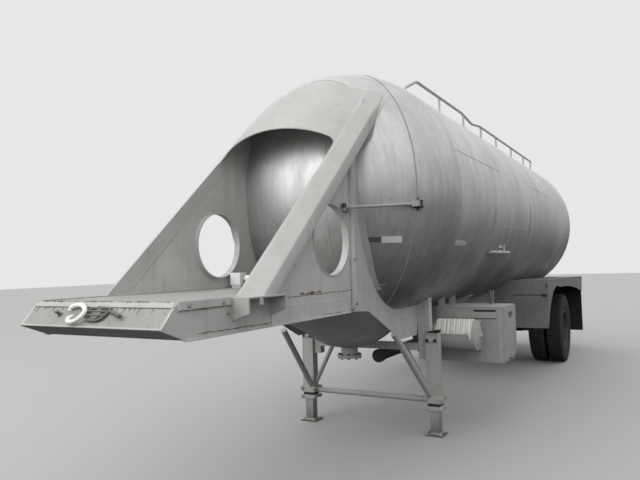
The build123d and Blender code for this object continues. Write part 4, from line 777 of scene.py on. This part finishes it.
# The cloth lies 10 mm off the shell, puffed in five quilted rows and drawn into folds that grow towards its front edge.
# White quilting, matt, a little greyed where it hangs lowest.
cloth_from, cloth_arc, cloth_off, cloth_thick = np.radians(-85), np.radians(166), 0.0105, 0.003
cloth_near, cloth_wide = 0.655, 0.357
cloth = old_enamel("white_quilted_cloth", "#f4f4f1", "#cfcdc6", 0.0, 0.85, low_z=0.7, high_z=1.05, dirt=0.15)
cloth_t, cloth_w = np.meshgrid(np.linspace(0, 1, 110), np.linspace(0, 1, 90), indexing="ij")
fray = 0.020 * np.sin(23 * cloth_w + 1) * np.sin(9 * cloth_w) + 0.012 * np.sin(51 * cloth_w)
fray = fray - 0.34 * np.exp(-((cloth_w - 0.965) / 0.030)**2)
cloth_a = cloth_from + (cloth_arc - fray) * cloth_t
puff = 0.0022 * np.abs(np.sin(np.pi * cloth_t * 5 + 0.8 * np.sin(7 * cloth_w)))
fold = 0.0030 * np.sin(84 * cloth_w + 2.6 * np.sin(5 * cloth_t) + 2 * np.sin(9 * cloth_w))
fold = fold + 0.0024 * np.sin(47 * cloth_w - 4 * cloth_t + 1)
fold = fold * (0.35 + 0.65 * cloth_t) + 0.0012 * np.sin(31 * cloth_t + 11 * cloth_w)
cloth_r = vessel_r + cloth_off + puff + fold
cloth_y = cloth_near + cloth_wide * cloth_w + 0.004 * np.sin(9 * cloth_t)
cover_face = xyz(vessel_x + cloth_r * np.sin(cloth_a), cloth_y, vessel_z + cloth_r * np.cos(cloth_a))
inward = xyz(np.sin(cloth_a), 0.0, np.cos(cloth_a))
cover = piece("cover_cloth", [leaf(cover_face, cover_face - cloth_thick * inward)], cloth)
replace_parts(cover, "reservoir_cover")

# Tool box: folded sheet with a bright wiped top edge, a hinged flap and a patched plate on its front wall, the door
# with its hasp on the outer side. Mid grey enamel, scuffed.
box_enamel = old_enamel("mid_grey_enamel", "#b8b8b6", "#7c7b78", rusty=0.4)
dress(box_enamel, "toolbox", "toolbox_door")
dress(grey_enamel, "box_hangers")
# The pale top sheet, a patch and an edge strip on the front wall, the flap, its hinge rod and its bolts. The edge
# strip's paler tone at the wall's outer corner is a painted highlight of the lit edge.
edge = [blocks([(0.940, 0.885, 1.1620), (1.191, 0.763, 1.094), (1.191, 1.192, 0.892)],
               [(0.502, 0.668, 0.003), (0.003, 0.354, 0.087), (0.003, 0.036, 0.505)], 0.0008)]
edge.append(blocks([(1.192, 1.048, 1.082)], (0.004, 0.217, 0.062), 0.001))
edge.append(tube(straight((1.192, 0.586, 1.137), (1.192, 1.16, 1.137), 30), 0.003, 8))
edge += bolts([(1.190, y, z) for y in (0.60, 0.76, 0.92) for z in (1.060, 1.127)], (1, 0, 0), 0.010, 0.004)
piece("box_edges", edge, pale_enamel)
pipe_end = tube(eased([(0.829, 1.022, 1.160), (0.829, 1.022, 1.270), (0.800, 1.010, 1.300)], 0.02), 0.011, 12)
piece("box_pipe", [pipe_end], black_iron)
gap_sizes = [(0.0036, 0.217, 0.019), (0.0036, 0.217, 0.008)]
gaps = [blocks([(1.1915, 1.048, 1.1255), (1.1915, 1.048, 1.048)], gap_sizes, 0.0008)]
shadow = old_enamel("shadow_in_box_gaps", "#2c2b2a", "#1f1e1d", rusty=0.1)
piece("box_gaps", gaps, shadow)
lip = blocks([(1.1915, 1.2245, 0.8925)], (0.003, 0.023, 0.523), 0.0008)
piece("door_lip", [lip], box_enamel, body="box_door")
hasp = [blocks([(0.935, 1.239, 1.082), (0.935, 1.243, 1.075)], [(0.170, 0.005, 0.039), (0.030, 0.006, 0.060)], 0.0015)]
hasp += bolts([(x, 1.240, 1.082) for x in (0.862, 1.008)], (0, 1, 0), 0.012, 0.005)
piece("door_hasp", hasp, black_iron, body="box_door")

# Pipes and hoppers: steep cones with bolted flanges on one dark discharge pipe, a blind flange in front, and the vent
# pipe along the left flank with its knob and its bracket on the tank.
dress(grey_enamel, "hopper_front", "hoppers_rear", "vent_pipe")
dress(box_enamel, "tie_rod")
# Oily black enamel: dark, with a dull shine under the dust.
running_gear = old_enamel("oily_black_enamel", "#454543", "#2b2a28", rusty=0.5, rough=0.6)
dress(running_gear, "discharge_pipe", "axle", "springs", "spring_hangers")
flange_a, nuts = np.linspace(0, 2 * np.pi, 8, endpoint=False) + 0.39, []
flange_x, flange_circle, flange_top, flange_pair = (-0.2, -2.0, 2.087), 0.096, 0.778, 0.032
for x in flange_x:
    ring = xyz(x + flange_circle * np.cos(flange_a), flange_circle * np.sin(flange_a), flange_top)
    nuts += bolts(ring, (0, 0, 1), 0.018, 0.011) + bolts(ring - (0, 0, flange_pair), (0, 0, -1), 0.018, 0.011)
piece("flange_bolts", nuts, running_gear)
# The bracket's plate lies on the barrel, 23 degrees below its widest line.
plate_out = np.array([0.0, 0.919, -0.394])
plate_axes = np.stack([[1.0, 0.0, 0.0], plate_out, np.cross((1.0, 0.0, 0.0), plate_out)])
plate_at = np.array([0.0, 0.0, axis_z]) + 1.155 * plate_out
lugs = [blocks([plate_at + (1.975, 0.0, 0.0)], (0.259, 0.006, 0.046), 0.0015, plate_axes)]
lugs += [blocks([plate_at + (x, 0.0, 0.0) + 0.008 * plate_out], (0.012, 0.022, 0.040), 0.002, plate_axes)
         for x in (1.86, 2.09)]
piece("flank_bracket", lugs, grey_enamel)
button = [(-0.004, 0.010), (0.030, 0.010), (0.034, 0.022), (0.048, 0.024), (0.056, 0.016)]
piece("vent_knob", [turned(button, (0.472, 1.049, 1.722), (0, 0, 1), 24)], white_paint)
collar = [(-0.006, 0.014), (0.006, 0.014), (0.006, 0.020), (-0.006, 0.020)]
plug = [(0.0, 0.012), (0.006, 0.012), (0.007, 0.009)]
dark_parts = [turned(collar, (0.472, 1.049, 1.745), (0, 0, 1), 24, True)]
dark_parts.append(turned(plug, plate_at + (2.077, 0.0, 0.0) + 0.002 * plate_out, plate_out, 16))
piece("vent_dark_parts", dark_parts, black_iron)

# Frame behind, mudguards and flaps: folded sheet guards on the outside of two rails, riveted along their edges, rubber
# flaps clamped under a strip, and a bumper of square tube. Soil from the wheels has greyed all of it.
dress(grey_enamel, "rear_rails", "rear_members", "rear_bumper", "ladder", "ladder_rungs")
guard_enamel = old_enamel("road_greyed_enamel", "#8b8b89", "#55534f", rusty=0.4)
dress(guard_enamel, "guard_fronts", "guard_skirts", "guard_roofs")
# A beaded rim along each guard's upper edge, rivets just below it, and the strip over the flap with its bolts.
guard_trim, rivet = [], turned([(-0.001, 0.007), (0.001, 0.007), (0.0025, 0.004)], (0, 0, 0), (0, 0, 1), 10)
for side in (-1, 1):
    guard_trim.append(tube(straight((-1.32, side * 1.250, 1.334), (-4.97, side * 1.250, 1.276), 200), 0.0045, 8))
    rivets = xyz(np.linspace(-1.40, -4.90, 15), side * 1.2505, np.linspace(1.310, 1.255, 15))
    guard_trim.append(repeated(rivet, rivets, facing((0, side, 0))))
    guard_trim.append(blocks([(-4.8765, side * 0.978, 1.2525)], (0.005, 0.520, 0.036), 0.001))
    strip_bolts = [(-4.874, side * y, 1.2525) for y in (0.76, 0.87, 0.98, 1.09, 1.20)]
    guard_trim += bolts(strip_bolts, (1, 0, 0), 0.016, 0.008)
piece("guard_trim", guard_trim, guard_enamel)
# Dusty rubber is matt and nearly black. The line across each guard's front is painted shade in its gap, the clips
# are dark, and the lens is a clean, glossy red.
black_rubber = old_enamel("dusty_black_rubber", "#1f1f1f", "#383735", rusty=0.0, rough=0.8, high_z=0.9, dirt=0.3)
dress(black_rubber, "mudflaps")
gap_shade_and_clip_dark = old_enamel("gap_shade_and_dark_clips", "#343331", "#242322", rusty=0.5)
# On each guard front: a dark line of painted shade along the fold, then two dark clips at its outer end.
side_marks = [blocks([(-1.2565, side * 0.995, 1.142), (-1.252, side * 1.205, 1.136), (-1.284, side * 1.232, 1.250)],
                     [(0.005, 0.400, 0.009), (0.016, 0.052, 0.036), (0.012, 0.020, 0.075)], 0.002) for side in (-1, 1)]
piece("guard_dark_marks", side_marks, gap_shade_and_clip_dark)
red_lens = old_enamel("red_lens", "#6e1a16", "#3c1210", rusty=0.0, rough=0.3)
dress(red_lens, "rear_lamps")
lens = [(0.0, 0.036), (0.0025, 0.035), (0.0040, 0.028), (0.0046, 0.012)]
lenses = [turned(lens, (-5.0458, side * y, 0.605), (-1, 0, 0), 28) for side in (-1, 1) for y in (0.93, 1.09)]
piece("lamp_lenses", lenses, red_lens)

# Tyres: moulded rubber on steel cord, two to a side, worn square and dusty. The road tread has four wavy grooves, with
# cuts across the shoulders, and two thin ribs run round each wall.
hub_x, hub_z = -3.04, 0.526
groove_at, groove_half, groove_deep, groove_sway = (-0.064, -0.026, 0.021, 0.059), 0.0035, 0.011, 0.005
cuts_round, cut_from, cut_deep, tread_from = 60, 0.078, 0.008, 0.500
rib_at, rib_half, rib_high = (0.470, 0.306), 0.003, 0.0012
# Half a tyre's section from the middle of the tread to the bead: half width, and radius.
tyre_w = [0.0, 0.060, 0.088, 0.098, 0.106, 0.113, 0.118, 0.1195, 0.116, 0.106, 0.096, 0.089, 0.086, 0.084]
tyre_r = [0.5255, 0.5250, 0.5235, 0.516, 0.495, 0.465, 0.430, 0.398, 0.350, 0.310, 0.288, 0.278, 0.268, 0.258]
half_run = np.concatenate([[0], np.cumsum(np.hypot(np.diff(tyre_w), np.diff(tyre_r)))])
even = half_run[-1] * np.linspace(0, 1, 62)**1.25
half_w, half_r = np.interp(even, half_run, tyre_w), np.interp(even, half_run, tyre_r)
for half in (half_w, half_r):
    half[1:-1] = (half[:-2] + 2 * half[1:-1] + half[2:]) / 4
ring_w = np.concatenate([-half_w[:0:-1], half_w])
ring_r = np.concatenate([half_r[:0:-1], half_r])
spin, over = np.meshgrid(np.linspace(0, 2 * np.pi, 360, endpoint=False), ring_w, indexing="ij")
wheel_r = np.broadcast_to(ring_r, spin.shape)
weave = groove_sway * np.abs((spin * cuts_round / np.pi) % 2 - 1)
grooves = np.clip(sum(np.exp(-((over - at - weave) / groove_half)**4) for at in groove_at), 0, 1)
cuts = np.clip((np.abs(over) - cut_from) / 0.006, 0, 1) * (np.sin(spin * cuts_round) > 0.45)
tread = np.clip((wheel_r - tread_from) / 0.012, 0, 1) * (groove_deep * grooves + cut_deep * cuts)
ribs = rib_high * sum(np.exp(-((wheel_r - at) / rib_half)**2) for at in rib_at)
# Worn rubber: matt, browned by dust that is thickest low down.
tyre_rubber = old_enamel("dusty_tyre_rubber", "#232323", "#4a4845", 0.0, 0.82, low_z=-0.1, high_z=0.9, dirt=0.35)
for side, body in ((1, "wheels_left"), (-1, "wheels_right")):
    for y, where in ((1.096, "outer"), (0.834, "inner")):
        grid = xyz(hub_x + (wheel_r - tread) * np.cos(spin), over * (1 + ribs / 0.11) + side * y,
                   hub_z + (wheel_r - tread) * np.sin(spin))
        name = f"{body.replace('wheels', 'tyre')}_{where}_tread"
        tyre = piece(name, [outwards(*patch(grid, True, True))], tyre_rubber, body=body, crease=40)
        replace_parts(tyre, name.replace("_tread", ""))

# Wheels, axle and springs: pressed disc wheels with ten nuts on each hub, leaf springs clamped to a round axle by
# U-bolts, and two brake chambers. All black with oil and dust.
# Rings of nuts on a hub: how many, their circle, their place outwards, their width and height.
nut_rings = ((10, 0.135, 0.977, 0.030, 0.024), (8, 0.055, 1.092, 0.014, 0.008))
rim_enamel = old_enamel("dusty_rim_enamel", "#5c5b59", "#3a3937", rusty=0.5, rough=0.6)
dress(rim_enamel, "rims_left", "rims_right")
for side, body in ((1, "wheels_left"), (-1, "wheels_right")):
    set_on = []
    for count, circle, y, wide, high in nut_rings:
        nut_a = np.linspace(0, 2 * np.pi, count, endpoint=False)
        ring = xyz(hub_x + circle * np.cos(nut_a), side * y, hub_z + circle * np.sin(nut_a))
        set_on += bolts(ring, (0, side, 0), wide, high)
    valve = [(-2.86, side * 0.99, hub_z), (-2.845, side * 1.03, hub_z), (-2.835, side * 1.10, hub_z)]
    set_on.append(tube(eased(valve, 0.02), 0.005, 8))
    piece(f"{body}_nuts", set_on, rim_enamel, body=body)
clamps = []
chamber = [(-0.060, 0.030), (-0.055, 0.070), (-0.004, 0.076), (0.004, 0.076), (0.055, 0.070), (0.062, 0.034)]
for side in (-1, 1):
    near_y, far_y, chamber_y = side * 0.428, side * 0.542, side * 0.33
    for x in (-3.085, -2.995):
        u_bolt = [(x, near_y, 0.460), (x, near_y, 0.700), (x, far_y, 0.700), (x, far_y, 0.460)]
        clamps.append(tube(eased(u_bolt, 0.02), 0.008, 10))
    clamps.append(blocks([(hub_x, side * 0.485, 0.468)], (0.150, 0.140, 0.012), 0.003))
    clamps += [blocks([(x, side * 0.485, 0.680)], (0.030, 0.108, 0.070), 0.003) for x in (-2.78, -3.30)]
    clamps.append(turned(chamber, (-3.24, chamber_y, 0.60), (1, 0, 0), 32))
    clamps.append(tube([(-3.18, chamber_y, 0.60), (-3.06, chamber_y, 0.60)], 0.012, 10))
piece("axle_clamps", clamps, running_gear)

# Walkway, rails and manholes on top: bar grating on low bearers, bent tube rails whose left one sags where it was
# struck, and three necks with lids held down by screw dogs.
# Galvanised steel gone dull: darker than the enamel round it, with small chips of rust.
worn_steel = old_enamel("dull_galvanised_steel", "#8b8a86", "#5d5b56", rusty=0.4, rough=0.5)
dress(grey_enamel, "rail_posts", "manhole_necks", "manhole_lid_front", "manhole_lid_middle", "manhole_lid_rear")
dent = [(-0.15, 3.466), (-0.617, 3.410), (-0.995, 3.455)]
rails = []
for y, struck in ((0.5, dent), (-0.5, [])):
    rail = [(1.725, 3.263), (1.725, 3.318), (1.40, 3.462), *struck, (-4.56, 3.462), (-4.56, 3.420), (-4.44, 3.240)]
    rails.append(tube(eased([(x, y, z) for x, z in rail], 0.05), 0.016, 12))
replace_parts(piece("bent_rails", rails, grey_enamel), "top_rails")
# Panels of grating from x to x, clear of the manholes; bars 29 mm apart run along, rods 100 mm apart across.
bar_y, rod_step, grate, grate_z = np.arange(-0.2755, 0.28, 0.029), 0.1, [], 3.400
for near, far in ((-4.44, -3.85), (-3.25, -1.60), (-1.00, 0.68), (1.28, 1.56)):
    middle, long_ = (near + far) / 2, far - near
    grate.append(blocks(xyz(middle, bar_y, grate_z), (long_ - 0.006, 0.003, 0.022), 0.0006))
    grate.append(blocks(xyz(np.arange(near + 0.05, far, rod_step), 0.0, 3.409), (0.005, 0.574, 0.005), 0.001))
    frame_at = [(middle, -0.2885), (middle, 0.2885), (near + 0.0015, 0), (far - 0.0015, 0)]
    frame_size = [(long_, 0.003, 0.024)] * 2 + [(0.003, 0.577, 0.024)] * 2
    grate.append(blocks([(x, y, grate_z) for x, y in frame_at], frame_size, 0.0006))
bearers = [(x, 0.0, 3.369) for x in (-4.3, -3.95, -3.15, -2.4, -1.7, -0.9, -0.1, 0.56, 1.4)]
grate.append(blocks(bearers, (0.040, 0.580, 0.038), 0.002))
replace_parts(piece("walkway_grating", grate, worn_steel), "walkway")
dog_circle = 0.240
screw = [(3.482, 0.006), (3.516, 0.006), (3.517, 0.015), (3.524, 0.015), (3.526, 0.007)]
for x, lid in ((0.980, "lid_front"), (-1.300, "lid_middle"), (-3.550, "lid_rear")):
    dogs, lugs = [], []
    for angle in np.radians([25, -25, 75, -75, 125, -125]):
        out = np.array([math.cos(angle), math.sin(angle), 0.0])
        out_axes = np.stack([out, np.cross((0, 0, 1.0), out), (0, 0, 1.0)])
        at = np.array([x, 0.0, 0.0]) + dog_circle * out
        dogs.append(turned(screw, at, (0, 0, 1), 14))
        dogs.append(blocks([at - 0.008 * out + (0, 0, 3.508)], (0.036, 0.014, 0.010), 0.002, out_axes))
        lugs.append(blocks([at - 0.004 * out + (0, 0, 3.455)], (0.034, 0.022, 0.024), 0.003, out_axes))
    piece(f"{lid}_dogs", dogs, worn_steel, body=lid)
    piece(f"{lid}_lugs", lugs, grey_enamel)

# Deck lamp and coupling: a white cased lamp on a dark foot, on the right of the deck behind the pillars, its glass
# turned back, and the worn, greased kingpin and its plate underneath.
dress(white_paint, "deck_lamp")
dress(old_enamel("greasy_bare_steel", "#77756f", "#45423d", rusty=0.6, rough=0.4), "coupling_plate", "kingpin")
swivel = (3.190, -0.335, 1.530)
lamp_lens = [(0.0, 0.040), (0.004, 0.039), (0.007, 0.030), (0.008, 0.012)]
swivel_rim = [(-0.020, 0.018), (-0.020, 0.027), (0.020, 0.027), (0.020, 0.018)]
lamp_parts = [turned(lamp_lens, (3.145, -0.438, 1.528), (-1, 0, 0), 32)]
lamp_parts.append(turned(swivel_rim, swivel, (0, 1, 0), 32, True))
piece("lamp_glass", lamp_parts, white_paint)
foot_parts = [blocks([(3.190, -0.400, 1.462)], (0.060, 0.150, 0.012), 0.002)]
foot_parts.append(blocks([(3.190, -0.362, 1.490)], (0.030, 0.040, 0.050), 0.004))
foot_parts.append(turned([(-0.018, 0.017), (0.018, 0.017)], swivel, (0, 1, 0), 24))
piece("lamp_foot", foot_parts, black_iron)
